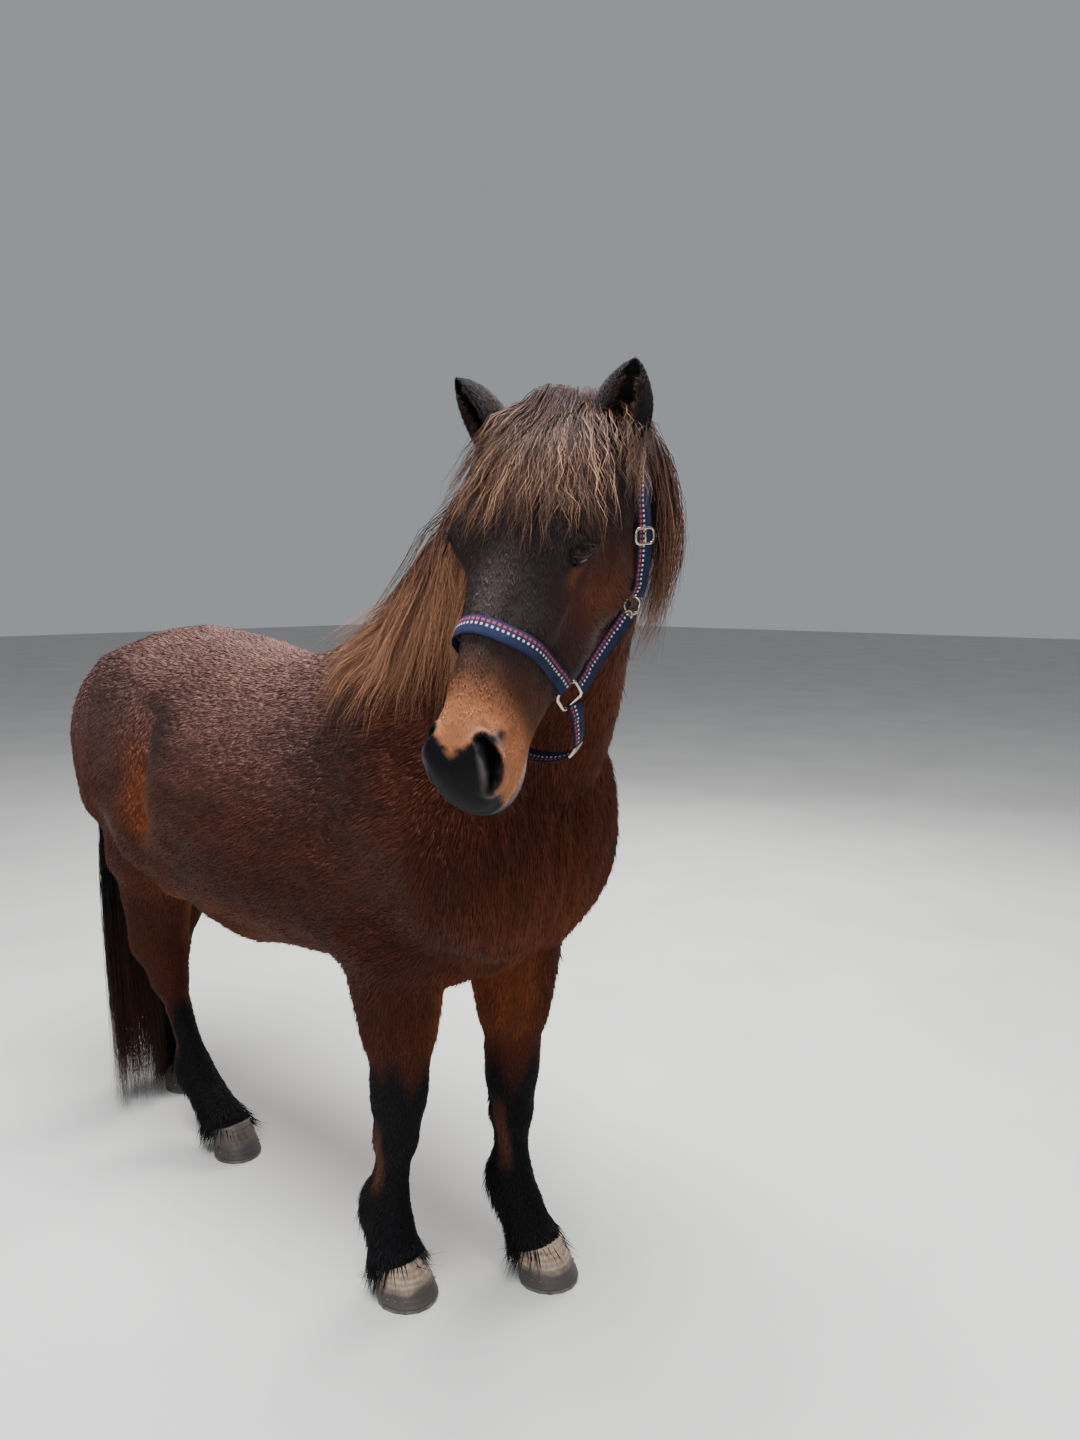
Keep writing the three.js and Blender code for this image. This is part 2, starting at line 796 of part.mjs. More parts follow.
// Follows a form from a starting point towards a drift direction, lifted off it, and returns the path
function follow(form, start, heading, drift, length, count, lift) {
  const points = [];
  const outward = [];
  const p = start.clone();
  const direction = heading.clone().normalize();
  const step = length / count;
  for (let i = 0; i <= count; i += 1) {
    const normal = slope(form, p);
    const d = form.distance(p);
    const wanted = i === 0 ? -14 : lift;
    const pull = i < 3 || d < wanted ? wanted - d : Math.max((wanted - d) * 0.25, -10);
    p.addScaledVector(normal, pull);
    points.push(p.clone());
    outward.push(normal);
    direction.lerp(drift, 0.5).normalize();
    const next = direction.clone();
    const inward = next.dot(normal);
    if (inward < 0) {
      next.addScaledVector(normal, -inward).normalize();
    }
    p.addScaledVector(next, step);
  }
  return { points, outward };
}

// Builds the flesh as one solid and parts it with thin cuts
const torso = torsoForm();
const neck = neckForm();
const head = headForm();

const torsoSolid = torso.solid(steps(0, 20, 31), 24);
const neckSolid = neck.solid(steps(0, 8, 13), 20);
const headLocal = head.solid(steps(0, 15, 23), 24);

let flesh = torsoSolid;
const legNames = Object.keys(POSES);
for (const name of legNames) {
  const form = legForm(name);
  const rows = name.startsWith("fore") ? FORE_ROWS : HIND_ROWS;
  flesh = flesh.add(form.solid(steps(0, rows.length - 1, rows.length - 1), 12));
}

const parts = [];
function addPart(name, solid, color, roughness = 0.85, metalness = 0) {
  parts.push({ name, solid, color, roughness, metalness });
}

// The solid on the side of a plane that its normal points to, moved off by half a gap
function keep(solid, normal, point) {
  const n = normal.clone().normalize();
  return solid.trimByPlane([n.x, n.y, n.z], n.dot(point) + GAP / 2);
}

for (const name of legNames) {
  const fore = name.startsWith("fore");
  const side = name.endsWith("left") ? 1 : -1;
  const low = [side > 0 ? 0 : -400, fore ? -300 : 740, -20];
  const high = [side > 0 ? 400 : 0, fore ? 330 : 1600, 1200];
  const region = box(low, high);
  const normal = fore ? new THREE.Vector3(0, 0, -1) : new THREE.Vector3(0, GASKIN_CUT_SLOPE, -1);
  const point = fore
    ? new THREE.Vector3(0, 0, FOREARM_CUT)
    : new THREE.Vector3(0, 840, GASKIN_CUT);
  const below = keep(region, normal, point);
  const n = normal.clone().normalize();
  const cutter = region.trimByPlane(n.toArray(), n.dot(point) - GAP / 2);
  const leg = flesh.intersect(below);
  flesh = flesh.subtract(cutter);
  const coronet = coronetPlane(name);
  addPart(name, largest(keep(leg, coronet.normal, coronet.point)), COAT_DARK);
  const hoof = keep(hoofSolid(name), coronet.normal.clone().negate(), coronet.point);
  const short = name.replace("foreleg", "fore").replace("hindleg", "hind");
  addPart(`hoof_${short}`, largest(hoof), HORN, 0.6);
  addPart(`shoe_${short}`, shoeSolid(name), STEEL, 0.4, 0.8);
}

// Eyes with lids, nostrils and the line of the mouth
function ellipsoid(centre, radii, turn = [0, 0, 0], detail = [12, 8]) {
  const geometry = new THREE.SphereGeometry(1, ...detail);
  geometry.scale(...radii);
  const angles = turn.map((degrees) => THREE.MathUtils.degToRad(degrees));
  geometry.applyMatrix4(new THREE.Matrix4().makeRotationFromEuler(new THREE.Euler(...angles)));
  geometry.translate(...centre);
  return fromGeometry(geometry);
}

let face = headLocal;
const eyeballs = {};
for (const side of [-1, 1]) {
  const [x, y, z] = EYE_PLACE;
  const centre = [side * x, y, z];
  const lids = ellipsoid(centre, [EYE_RADIUS + 4, EYE_RADIUS + 6, EYE_RADIUS + 4], [0, 0, 0], [12, 8]);
  const opening = ellipsoid([side * (x + 24), y, z], [18, 17, 8.5], [-12, 0, 0], [12, 8]);
  const ball = ellipsoid(centre, [EYE_RADIUS, EYE_RADIUS, EYE_RADIUS], [0, 90, 0], [12, 8]);
  const socket = ellipsoid(
    centre,
    [EYE_RADIUS + GAP, EYE_RADIUS + GAP, EYE_RADIUS + GAP],
    [0, 90, 0],
    [12, 8],
  );
  face = face.add(lids).subtract(opening).subtract(socket);
  face = face.subtract(ellipsoid([side * 51, -498, -8], [15, 20, 13], [30, 0, side * 16], [10, 6]));
  face = face.subtract(ellipsoid([side * 45, -476, 10], [9, 16, 7], [30, 0, side * 12], [8, 6]));
  eyeballs[side] = ball;
}

function mouthLine() {
  const path = [];
  for (const side of [1, -1]) {
    const row = [];
    for (const place of [452, 478, 504, 530, 550]) {
      const { t } = headPlace(side * 30, -place, -70);
      let low = 0;
      let high = -Math.PI / 2;
      for (let k = 0; k < 20; k += 1) {
        const angle = (low + high) / 2;
        const probe = head.surface(t, angle);
        if (probe.z > MOUTH_HEIGHT) {
          low = angle;
        } else {
          high = angle;
        }
      }
      const q = head.surface(t, low);
      row.push(new THREE.Vector3(q.x * side, q.y, q.z));
    }
    if (side < 0) {
      row.reverse();
    }
    path.push(...row);
  }
  const curve = new THREE.CatmullRomCurve3(path);
  const rings = [];
  for (let i = 0; i <= 20; i += 1) {
    const p = curve.getPointAt(i / 20);
    const along = curve.getTangentAt(i / 20);
    const rise = new THREE.Vector3(0, 0, 1);
    const across = new THREE.Vector3().crossVectors(along, rise).normalize();
    const ring = [];
    for (let j = 0; j < 4; j += 1) {
      const angle = (j / 4) * Math.PI * 2;
      const q = p.clone().addScaledVector(rise, Math.sin(angle) * 2.4);
      q.addScaledVector(across, Math.cos(angle) * 5);
      ring.push(q);
    }
    rings.push(ring);
  }
  return closedRings(rings);
}
face = face.subtract(mouthLine());

// Ears: a leaf shaped shell with a cup that opens forwards and outwards
const EAR_ROWS = [
  [0, 27, 28], [0.12, 33, 28], [0.3, 40, 25], [0.5, 38, 20], [0.68, 30, 15], [0.84, 18, 10],
  [0.95, 8, 5], [1, 2, 2],
];
function earSolid(side) {
  const base = new THREE.Vector3(side * (side > 0 ? 92 : 98), -50, 22);
  const tilt = side > 0 ? 0.28 : 0.7;
  const axis = new THREE.Vector3(side * tilt, 0.84, 0.5).normalize();
  const facing = new THREE.Vector3(side * 0.5, -0.4, 0.8);
  facing.addScaledVector(axis, -facing.dot(axis)).normalize();
  const across = new THREE.Vector3().crossVectors(axis, facing).normalize();
  const build = (inside) => {
    const rings = [];
    for (const [f, half, deep] of EAR_ROWS) {
      if (inside && (f < 0.1 || f > 0.96)) {
        continue;
      }
      const lean = 14 * f * f;
      const centre = base.clone().addScaledVector(axis, f * EAR_LENGTH);
      centre.addScaledVector(facing, lean + (inside ? deep * 0.62 : 0));
      const w = inside ? Math.max(half - 7, 0.8) : half;
      const d = inside ? deep * 0.95 : deep;
      const ring = [];
      for (let j = 0; j < 12; j += 1) {
        const angle = (j / 12) * Math.PI * 2;
        const q = centre.clone().addScaledVector(across, Math.cos(angle) * w);
        q.addScaledVector(facing, Math.sin(angle) * d);
        ring.push(q);
      }
      rings.push(ring);
    }
    return closedRings(rings);
  };
  return build(false).subtract(build(true));
}
const headGrown = headForm(GAP).solid(steps(0, 15, 23), 24);

// Straps and rings of the halter
function at(side, place, height) {
  const { t } = headPlace(side * 60, -place, height);
  let low = -Math.PI / 2;
  let high = Math.PI / 2;
  for (let k = 0; k < 20; k += 1) {
    const angle = (low + high) / 2;
    if (head.surface(t, angle).z < height) {
      low = angle;
    } else {
      high = angle;
    }
  }
  const q = head.surface(t, low);
  return new THREE.Vector3(q.x * side, q.y, q.z);
}

// How far the noseband sits below its top, from the top of the nose round to the chin
const NOSEBAND_DROP = [[0, 0], [0.25, 6], [0.5, 9], [0.75, 12], [0.86, 22], [1, 92]];
const noseLoop = [];
for (let i = 0; i < 14; i += 1) {
  const angle = (i / 14) * Math.PI * 2 + Math.PI / 2;
  const round = (1 - Math.sin(angle)) / 2;
  const place = NOSEBAND_PLACE + lookUp(NOSEBAND_DROP, round)[1];
  const { t } = headPlace(50, -place, 0);
  noseLoop.push(head.surface(t, angle));
}
const nosebandSolid = strapSolid(noseLoop, STRAP_WIDTH, {
  closed: true,
  count: 28,
  slack: (f) => 3.4 + CHIN_SLACK * Math.max(-Math.cos(f * Math.PI * 2), 0) ** 3,
});
const halter = [["halter_noseband", nosebandSolid, WEBBING]];
const rings = [];
for (const side of [-1, 1]) {
  const word = side > 0 ? "left" : "right";
  const cheek = [
    at(side, NOSEBAND_PLACE + 8, -114),
    at(side, NOSEBAND_PLACE - 24, -122),
    at(side, NOSEBAND_PLACE - 60, -132),
    at(side, 240, -140),
  ];
  halter.push([`halter_cheek_${word}`, strapSolid(cheek, STRAP_WIDTH - 1, { count: 10, clearance: 4.8 }), WEBBING]);
  rings.push([`halter_ring_${word}`, side, NOSEBAND_PLACE + 30, -110, 24]);
  rings.push([`halter_side_ring_${word}`, side, 222, -142, 18]);
}
const crown = [];
const throat = [];
for (const side of [-1, 1]) {
  const crownSide = [at(side, 204, -128), at(side, 176, -110), at(side, 148, -94), at(side, 118, -72)];
  crownSide.push(at(side, 88, -57), at(side, 52, -50), at(side, 14, -28), at(side, -16, 16));
  const throatSide = [at(side, 216, -156), at(side, 208, -174)];
  if (side > 0) {
    crown.push(head.surface(headPlace(0, 16, 50).t, Math.PI / 2), ...crownSide.reverse());
    throat.push(head.surface(headPlace(0, -200, -180).t, -Math.PI / 2), ...throatSide.reverse());
  } else {
    crown.push(...crownSide);
    throat.push(...throatSide);
  }
}
halter.push(["halter_crown", strapSolid(crown, STRAP_WIDTH - 2, { count: 26, clearance: 10 }), WEBBING]);
halter.push(["halter_throat", strapSolid(throat, STRAP_WIDTH - 8, { count: 14, clearance: 4 }), WEBBING]);
const grownRings = [];
const lift = STRAP_CLEARANCE + STRAP_THICKNESS + GAP + 5;
for (const [name, side, place, height, size] of rings) {
  const p = at(side, place, height);
  addPart(name, placeOnHead(ringSolid(p.x, p.y, p.z, size, lift)), NICKEL, 0.3, 0.9);
  grownRings.push(ringSolid(p.x, p.y, p.z, size, lift, GAP));
}
for (const [name, solid, color] of halter) {
  let strap = solid;
  for (const ring of grownRings) {
    strap = strap.subtract(ring);
  }
  addPart(name, placeOnHead(largest(strap)), color, 0.8);
}

for (const side of [-1, 1]) {
  const word = side > 0 ? "left" : "right";
  addPart(`ear_${word}`, placeOnHead(largest(earSolid(side).subtract(headGrown))), COAT_DARK);
  addPart(`eye_${word}`, placeOnHead(eyeballs[side]), EYE, 0.1);
}

// Neck and torso part at the shoulder, head and neck part behind the ears
const shoulderPlane = {
  normal: new THREE.Vector3(0, -0.93, 0.37),
  point: new THREE.Vector3(0, 40, 1372),
};
function headRegion(grow) {
  const low = [-330, -800, THROAT_HEIGHT - grow];
  const high = [330, THROAT_BACK + grow, 330];
  return placeOnHead(box(low, high));
}
const upper = flesh.add(neckSolid).add(placeOnHead(face));
const torsoPart = largest(keep(upper, shoulderPlane.normal.clone().negate(), shoulderPlane.point));
const neckAndHead = keep(upper, shoulderPlane.normal, shoulderPlane.point);
const neckPart = largest(neckAndHead.subtract(headRegion(GAP / 2)));
const headPart = largest(neckAndHead.intersect(headRegion(-GAP / 2)));

// The mane hangs from the crest, mostly on the right side of the neck
const shoulders = {
  distance: (p) => smoothLow(neck.distance(p), torso.distance(p), 60),
};
function clearOfHead(points, margin) {
  return points.every((p, i) => {
    const q = p.clone().applyMatrix4(headInverse);
    const inside = q.y < THROAT_BACK + 12 && q.z > THROAT_HEIGHT - 12;
    if (!inside) {
      return true;
    }
    return i > 1 && head.distance(q) > margin && neck.distance(p) > 7;
  });
}
const maneLocks = [];
for (let i = 0; i < MANE_LOCKS; i += 1) {
  const f = (i + 0.5) / MANE_LOCKS;
  const t = mix(7.2, 0.9, f) + spread(-0.04, 0.04);
  const frame = neck.frame(t);
  const across = f < 0.34 && i % 2 === 0;
  const side = across ? 1 : -1;
  const start = neck.surface(t, Math.PI / 2 - side * spread(0.02, 0.1));
  const heading = frame.side.clone().multiplyScalar(side).addScaledVector(up, 0.3);
  const drift = new THREE.Vector3(0, spread(0, 0.2), -1);
  const length = (across ? 290 : mix(480, 400, f)) * spread(0.85, 1.1);
  const raised = across ? 6 + 8 * (i % 3) : 15 + 15 * (i % 3);
  const path = follow(shoulders, start, heading, drift, length, 6, raised);
  if (clearOfHead(path.points, 11)) {
    maneLocks.push(lock(path.points, path.outward, spread(44, 58), 9));
  }
}
const maned = join(neckPart, maneLocks);

// The forelock falls over the forehead
const foreLocks = [];
for (let i = 0; i < FORELOCK_LOCKS; i += 1) {
  const f = (i + 0.5) / FORELOCK_LOCKS;
  const x = mix(-34, 34, f);
  const start = onHead(new THREE.Vector3(x, i % 2 ? -34 : -16, 60), 0);
  const heading = new THREE.Vector3(x / 60, -1, 0.5);
  const drift = new THREE.Vector3(x / 75 - 0.08, -1, -0.1).normalize();
  const length = spread(205, 250);
  const path = follow(head, start, heading, drift, length, 5, 8 + 10 * (i % 2));
  foreLocks.push(lock(path.points, path.outward, spread(28, 36), 7));
}
const forelocked = join(headPart.transform(headInverse.elements), foreLocks);

// Tail: the dock with its skirt of hair and longer locks that thin out above the floor
const TAIL_ROWS = [
  [0, 1250, 1226, 26, 26, 30, 2, 2, 0],
  [-2, 1336, 1216, 32, 32, 38, 2, 2, 0],
  [-8, 1396, 1140, 38, 36, 48, 2, 2, 0],
  [-16, 1420, 1010, 44, 40, 58, 2, 2, 0],
  [-26, 1424, 840, 48, 44, 60, 2, 2, 0],
  [-36, 1412, 660, 48, 44, 58, 2, 2, 0],
  [-44, 1386, 480, 44, 40, 50, 2, 2, 0],
  [-52, 1346, 320, 36, 34, 42, 2, 2, 0],
  [-58, 1296, 170, 22, 22, 30, 2, 2, 0],
  [-62, 1266, 64, 7, 7, 10, 2, 2, 0],
];
const tailForm = new Form(TAIL_ROWS, { rise: new THREE.Vector3(0, 1, 0.3) });
const tailCore = tailForm.solid(steps(0, 9, 14), 12);
const tailLocks = [];
for (let i = 0; i < TAIL_LOCKS; i += 1) {
  const f = i / TAIL_LOCKS;
  const t = mix(2.2, 7.4, f);
  const angle = i * 2.4;
  const start = tailForm.surface(t, angle);
  const heading = tailForm.frame(t).along;
  const away = tailForm.surface(t, angle).sub(tailForm.frame(t).centre).normalize();
  const drift = tailForm.frame(Math.min(t + 1, 9)).along.clone().addScaledVector(away, 0.05);
  const length = Math.min(mix(300, 220, f), start.z - 64);
  const path = follow(tailForm, start, heading, drift, length, 5, 6 + 8 * (i % 2));
  tailLocks.push(lock(path.points, path.outward, spread(28, 38), 7));
}
const torsoGrown = torsoForm(GAP).solid(steps(0, 20, 31), 24);
const tailSolid = join(tailCore, tailLocks).subtract(torsoGrown);

addPart("torso", torsoPart, COAT);
addPart("neck", maned, COAT);
addPart("head", placeOnHead(forelocked), COAT_DARK);
addPart("tail", largest(tailSolid), HAIR);

// Builds the three.js group
const group = new THREE.Group();
for (const { name, solid, color, roughness, metalness } of parts) {
  const mesh = solid.translate([MIDDLE_X, MIDDLE_Y, 0]).getMesh();
  const geometry = new THREE.BufferGeometry();
  const positions = new Float32Array((mesh.vertProperties.length / mesh.numProp) * 3);
  for (let i = 0; i < positions.length / 3; i += 1) {
    for (let k = 0; k < 3; k += 1) {
      positions[i * 3 + k] = mesh.vertProperties[i * mesh.numProp + k];
    }
  }
  geometry.setAttribute("position", new THREE.BufferAttribute(positions, 3));
  geometry.setIndex(new THREE.BufferAttribute(new Uint32Array(mesh.triVerts), 1));
  geometry.computeVertexNormals();
  const material = new THREE.MeshStandardMaterial({ color, roughness, metalness });
  const object = new THREE.Mesh(geometry, material);
  object.name = name;
  group.add(object);
}

export default group;
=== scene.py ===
import math

import bmesh
import bpy
import numpy as np
from mathutils import Matrix, Vector
from mathutils.bvhtree import BVHTree


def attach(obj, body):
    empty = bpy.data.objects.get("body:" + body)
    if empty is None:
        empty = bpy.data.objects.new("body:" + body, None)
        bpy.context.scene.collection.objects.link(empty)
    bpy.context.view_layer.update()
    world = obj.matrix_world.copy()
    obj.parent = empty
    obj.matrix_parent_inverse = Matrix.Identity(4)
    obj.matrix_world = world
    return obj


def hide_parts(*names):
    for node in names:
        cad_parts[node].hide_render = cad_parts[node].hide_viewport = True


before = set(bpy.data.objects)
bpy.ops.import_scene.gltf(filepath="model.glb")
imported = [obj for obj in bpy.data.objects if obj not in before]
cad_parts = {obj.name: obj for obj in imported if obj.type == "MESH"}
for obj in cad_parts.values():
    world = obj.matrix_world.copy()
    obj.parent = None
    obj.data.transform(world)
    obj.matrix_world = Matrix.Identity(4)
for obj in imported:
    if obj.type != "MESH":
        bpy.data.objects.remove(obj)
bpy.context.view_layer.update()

chance = np.random.default_rng(11)
TAU = 2 * math.pi

# Places below are in millimetres about the horse's own zero, on the floor under its withers.
# ZERO is where that point stands in the model's frame, in metres.
MM = 0.001
ZERO = np.array([0.121, -0.4285, 0.0])
# The head: the poll's place, how the head is turned about it, and the eyes in the head's own frame.
POLL = [-270, -478, 1678]
HEAD_TURN = -83
HEAD_TILT = 4.8
HEAD_PITCH = 64
EYE_PLACE = np.array([95, -205, 27])
EYE_RADIUS = 21
# The opening between the lids: half its length, its height above and below, its slant and its drop.
LID_HALF = 18.8
LID_ABOVE = 9.0
LID_BELOW = 7.2
LID_SLANT = 0.06
LID_DROP = 1
EAR_LENGTH = 119
EAR_SPOKES = 22
# Size of the skin's first cells, in metres, and how far the skin lies under the coat.
SKIN_VOXEL = 0.0078
COAT_DEPTH = 5
FACE_DEPTH = 2
# The halter's webbing: widest strap, thickness, what a doubled end adds, and its gap to the skin.
STRAP_WIDTH = 28
STRAP_THICKNESS = 2.4
STRAP_DOUBLING = 2.6
STRAP_GAP = 2.6
# The camera: angle below the horizon, lens, and place and heading in degrees.
HORIZON_DROP = 7.11
LENS = 27.05
SENSOR_HEIGHT = 36
CAMERA_PLACE = [-1484.7, -1504.7, 1450]
CAMERA_HEADING = 48.0
TRUNK_TUFTS = 119040
LEG_TUFTS = 52000
HEAD_TUFTS = 46000
EAR_TUFTS = 9000
MOST_FACES = 190000
FORELOCK_LOCKS = 104
POLL_LOCKS = 15
TAIL_LOCKS = 170
MANE_HAIRS = 15
HAIRS_TOGETHER = 5
SIDES = ((-1, "right"), (1, "left"))


def place(points):
    """Points in millimetres about the horse's own zero become metres in the model's frame."""
    return np.asarray(points, float) * MM + ZERO


head_matrix = (
    Matrix.Translation(place(POLL))
    @ Matrix.Rotation(math.radians(HEAD_TURN), 4, "Z")
    @ Matrix.Rotation(math.radians(HEAD_TILT), 4, "Y")
    @ Matrix.Rotation(math.radians(HEAD_PITCH), 4, "X")
)
head_turn = np.array(head_matrix.to_3x3())
head_zero = np.array(head_matrix.translation)


def on_head(points):
    """Points in millimetres in the head's own frame become metres in the model's frame."""
    return (np.asarray(points, float) * MM) @ head_turn.T + head_zero


def head_frame(points):
    """Points in the model's frame become millimetres in the head's own frame."""
    return (points - head_zero) @ head_turn / MM


def body_frame(points):
    """Points in the model's frame become millimetres about the horse's own zero."""
    return (points - ZERO) / MM


def one_side(points):
    """The points, with those of the right side brought over to the left."""
    moved = points.copy()
    moved[:, 0] = np.abs(moved[:, 0])
    return moved


def round_angles(count):
    return np.arange(count) / count * TAU


def srgb(red, green, blue):
    """A colour as it is seen on a screen, from 0 to 255, becomes the linear one that nodes take."""
    values = np.array([red, green, blue]) / 255
    return tuple(np.where(values <= 0.04045, values / 12.92, ((values + 0.055) / 1.055) ** 2.4))


def unit(vectors):
    vectors = np.asarray(vectors, float)
    return vectors / np.maximum(np.linalg.norm(vectors, axis=-1, keepdims=True), 1e-9)


def ramp(low, high, values):
    """A soft step from 0 at low to 1 at high."""
    f = np.clip((np.asarray(values, float) - low) / (high - low), 0, 1)
    return f * f * (3 - 2 * f)


def between(rows, t):
    """Smooth values between rows of numbers, for t from 0 to the index of the last row."""
    rows = np.asarray(rows, float)
    last = len(rows) - 1
    t = np.clip(np.atleast_1d(np.asarray(t, float)), 0, last)
    i = np.minimum(t.astype(int), last - 1)
    f = (t - i)[:, None]
    before = rows[np.maximum(i - 1, 0)]
    a = rows[i]
    b = rows[i + 1]
    after = rows[np.minimum(i + 2, last)]
    slope_a = (b - before) / 2
    slope_b = (after - a) / 2
    h = b - a
    return a + f * (slope_a + f * ((3 * h - 2 * slope_a - slope_b) + f * (slope_a + slope_b - 2 * h)))


def smooth_low(a, b, width):
    h = np.maximum(width - np.abs(a - b), 0) / width
    return np.minimum(a, b) - h * h * width / 4


class Form:
    """A body swept along Y whose rows hold: place, middle, rise, fall, half width, squareness."""

    def __init__(self, rows, masses, heading):
        self.rows = np.array(rows, float)
        self.masses = masses
        self.heading = heading

    def gap_to_mass(self, points, mass):
        centre, radii, tilt, _ = mass
        p = points - np.array(centre, float)
        cosine, sine = math.cos(math.radians(tilt)), math.sin(math.radians(tilt))
        q = np.stack([p[:, 0], p[:, 1] * cosine + p[:, 2] * sine, p[:, 2] * cosine - p[:, 1] * sine], 1)
        radii = np.array(radii, float)
        k0 = np.linalg.norm(q / radii, axis=1)
        k1 = np.linalg.norm(q / radii**2, axis=1)
        return k0 * (k0 - 1) / np.maximum(k1, 1e-9)

    def value(self, centre, direction, reach, base):
        points = centre + direction * reach[:, None]
        gap = reach - base
        for mass in self.masses:
            gap = smooth_low(gap, self.gap_to_mass(points, mass), mass[3])
        return gap

    def points(self, t, angles):
        """Points on the surface, in millimetres, at places t and angles from the left side."""
        along, middle, rise, fall, half, above, below = between(self.rows, t).T
        cosine, sine = np.cos(angles), np.sin(angles)
        height = np.where(sine >= 0, rise, fall)
        power = np.where(sine >= 0, above, below)
        base = (np.abs(cosine / half) ** power + np.abs(sine / height) ** power) ** (-1 / power)
        centre = np.stack([0 * along, self.heading * along, middle], 1)
        direction = np.stack([cosine, 0 * along, sine], 1)
        low = base * 0.9
        high = low.copy()
        for _ in range(100):
            inside = self.value(centre, direction, high, base) < 0
            if not inside.any():
                break
            low = np.where(inside, high, low)
            high = np.where(inside, high + 6, high)
        for _ in range(14):
            half_way = (low + high) / 2
            inside = self.value(centre, direction, half_way, base) < 0
            low = np.where(inside, half_way, low)
            high = np.where(inside, high, half_way)
        return centre + direction * high[:, None], direction

    def rings(self, count, spokes):
        angles = round_angles(spokes)
        t = np.linspace(0, len(self.rows) - 1, count)
        points, _ = self.points(np.repeat(t, spokes), np.tile(angles, count))
        return points.reshape(count, spokes, 3)

    def t_at(self, along):
        return np.interp(along, self.rows[:, 0], np.arange(len(self.rows)))

    def middle_at(self, along):
        return between(self.rows, self.t_at(along))[:, 1]


CHEST_ROWS = [
    [-236, 1000, 55, 65, 54, 2, 2],
    [-220, 1000, 100, 115, 116, 2, 2],
    [-190, 1000, 140, 165, 168, 2, 2],
    [-152, 1000, 180, 200, 200, 2, 2],
    [-104, 1000, 235, 225, 210, 2.1, 2.2],
    [-40, 1000, 310, 292, 236, 2.1, 2.3],
    [40, 990, 374, 318, 232, 2, 2.3],
    [130, 975, 417, 315, 232, 1.8, 2.2],
    [230, 960, 418, 315, 250, 1.8, 2.2],
]
NECK_ROWS = [
    [0, 150, 1366, 0, -40, 820, 160, 1.8, 2.1, 0],
    [0, 70, 1430, 4, -150, 950, 178, 1.8, 2.1, 0],
    [-4, -15, 1512, 20, -240, 1070, 160, 1.7, 2.3, 2],
    [-16, -100, 1586, 4, -308, 1180, 120, 1.7, 2.2, 8],
    [-46, -190, 1644, -42, -366, 1284, 94, 1.7, 2.1, 20],
    [-94, -280, 1686, -98, -424, 1384, 88, 1.7, 2.1, 36],
    [-154, -362, 1708, -164, -466, 1468, 90, 1.8, 2.1, 52],
    [-214, -426, 1706, -238, -488, 1534, 84, 1.9, 2.1, 66],
    [-258, -464, 1688, -292, -500, 1578, 64, 2, 2.1, 74],
]
HEAD_ROWS = [
    [-30, -30, 46, 84, 62, 2, 2],
    [0, -14, 54, 146, 80, 2.2, 2],
    [45, 0, 60, 186, 98, 2.4, 2],
    [95, 8, 64, 214, 106, 2.5, 1.9],
    [150, 14, 60, 218, 106, 2.4, 1.9],
    [195, 13, 56, 208, 98, 2.2, 2],
    [245, 6, 56, 184, 80, 2, 2.2],
    [295, -2, 56, 162, 68, 1.9, 2.3],
    [345, -10, 56, 138, 60, 1.9, 2.3],
    [395, -16, 54, 116, 56, 1.9, 2.3],
    [437, -20, 52, 102, 56, 2, 2.3],
    [475, -24, 52, 94, 60, 2.2, 2.4],
    [508, -30, 50, 92, 62, 2.3, 2.4],
    [540, -38, 44, 76, 55, 2.3, 2.3],
    [562, -46, 31, 50, 41, 2.1, 2.1],
    [572, -50, 16, 26, 21, 2, 2],
]


def both_sides(masses):
    return [([side * c[0], *c[1:]], r, tilt, width) for side in (-1, 1) for c, r, tilt, width in masses]


head_form = Form(
    HEAD_ROWS,
    both_sides([
        ([80, -206, 46], [28, 42, 25], 8, 22),
        ([58, -266, -6], [24, 80, 16], -8, 24),
        ([72, -140, -88], [40, 98, 98], 0, 30),
        ([42, -100, -150], [26, 62, 44], 0, 30),
        ([33, -494, -12], [29, 44, 29], -20, 20),
        ([72, -34, 34], [34, 40, 34], 0, 24),
        ([52, -288, -76], [26, 84, 54], -4, 30),
    ]) + [([0, -325, 42], [28, 150, 14], 6, 24), ([0, -512, -106], [40, 48, 30], 0, 18)],
    -1,
)
chest_form = Form(
    CHEST_ROWS,
    both_sides([
        ([160, 60, 1060], [84, 125, 230], -18, 60),
        ([150, -104, 950], [110, 104, 172], 0, 70),
        ([96, -164, 1090], [86, 56, 120], 0, 70),
        ([68, -128, 860], [72, 66, 118], 0, 60),
        ([142, 100, 770], [84, 126, 125], 0, 70),
    ]) + [([0, -132, 925], [110, 66, 140], 0, 70), ([0, 150, 1352], [42, 130, 44], 0, 60)],
    1,
)


def neck_frame(t):
    """Centre, side, rise, depth, half width and squareness of the neck at place t."""
    row = between(NECK_ROWS, t)[0]
    crest, under = row[0:3], row[3:6]
    rise = unit(crest - under)
    turn = math.radians(row[9])
    side = np.array([math.cos(turn), -math.sin(turn), 0])
    side = unit(side - rise * side.dot(rise))
    depth = np.linalg.norm(crest - under) / 2
    return (crest + under) / 2, side, rise, depth, row[6], row[7], row[8]


def neck_point(t, angle):
    centre, side, rise, depth, half, above, below = neck_frame(t)
    cosine, sine = math.cos(angle), math.sin(angle)
    power = above if sine >= 0 else below
    reach = (abs(cosine / half) ** power + abs(sine / depth) ** power) ** (-1 / power)
    return centre + side * cosine * reach + rise * sine * reach


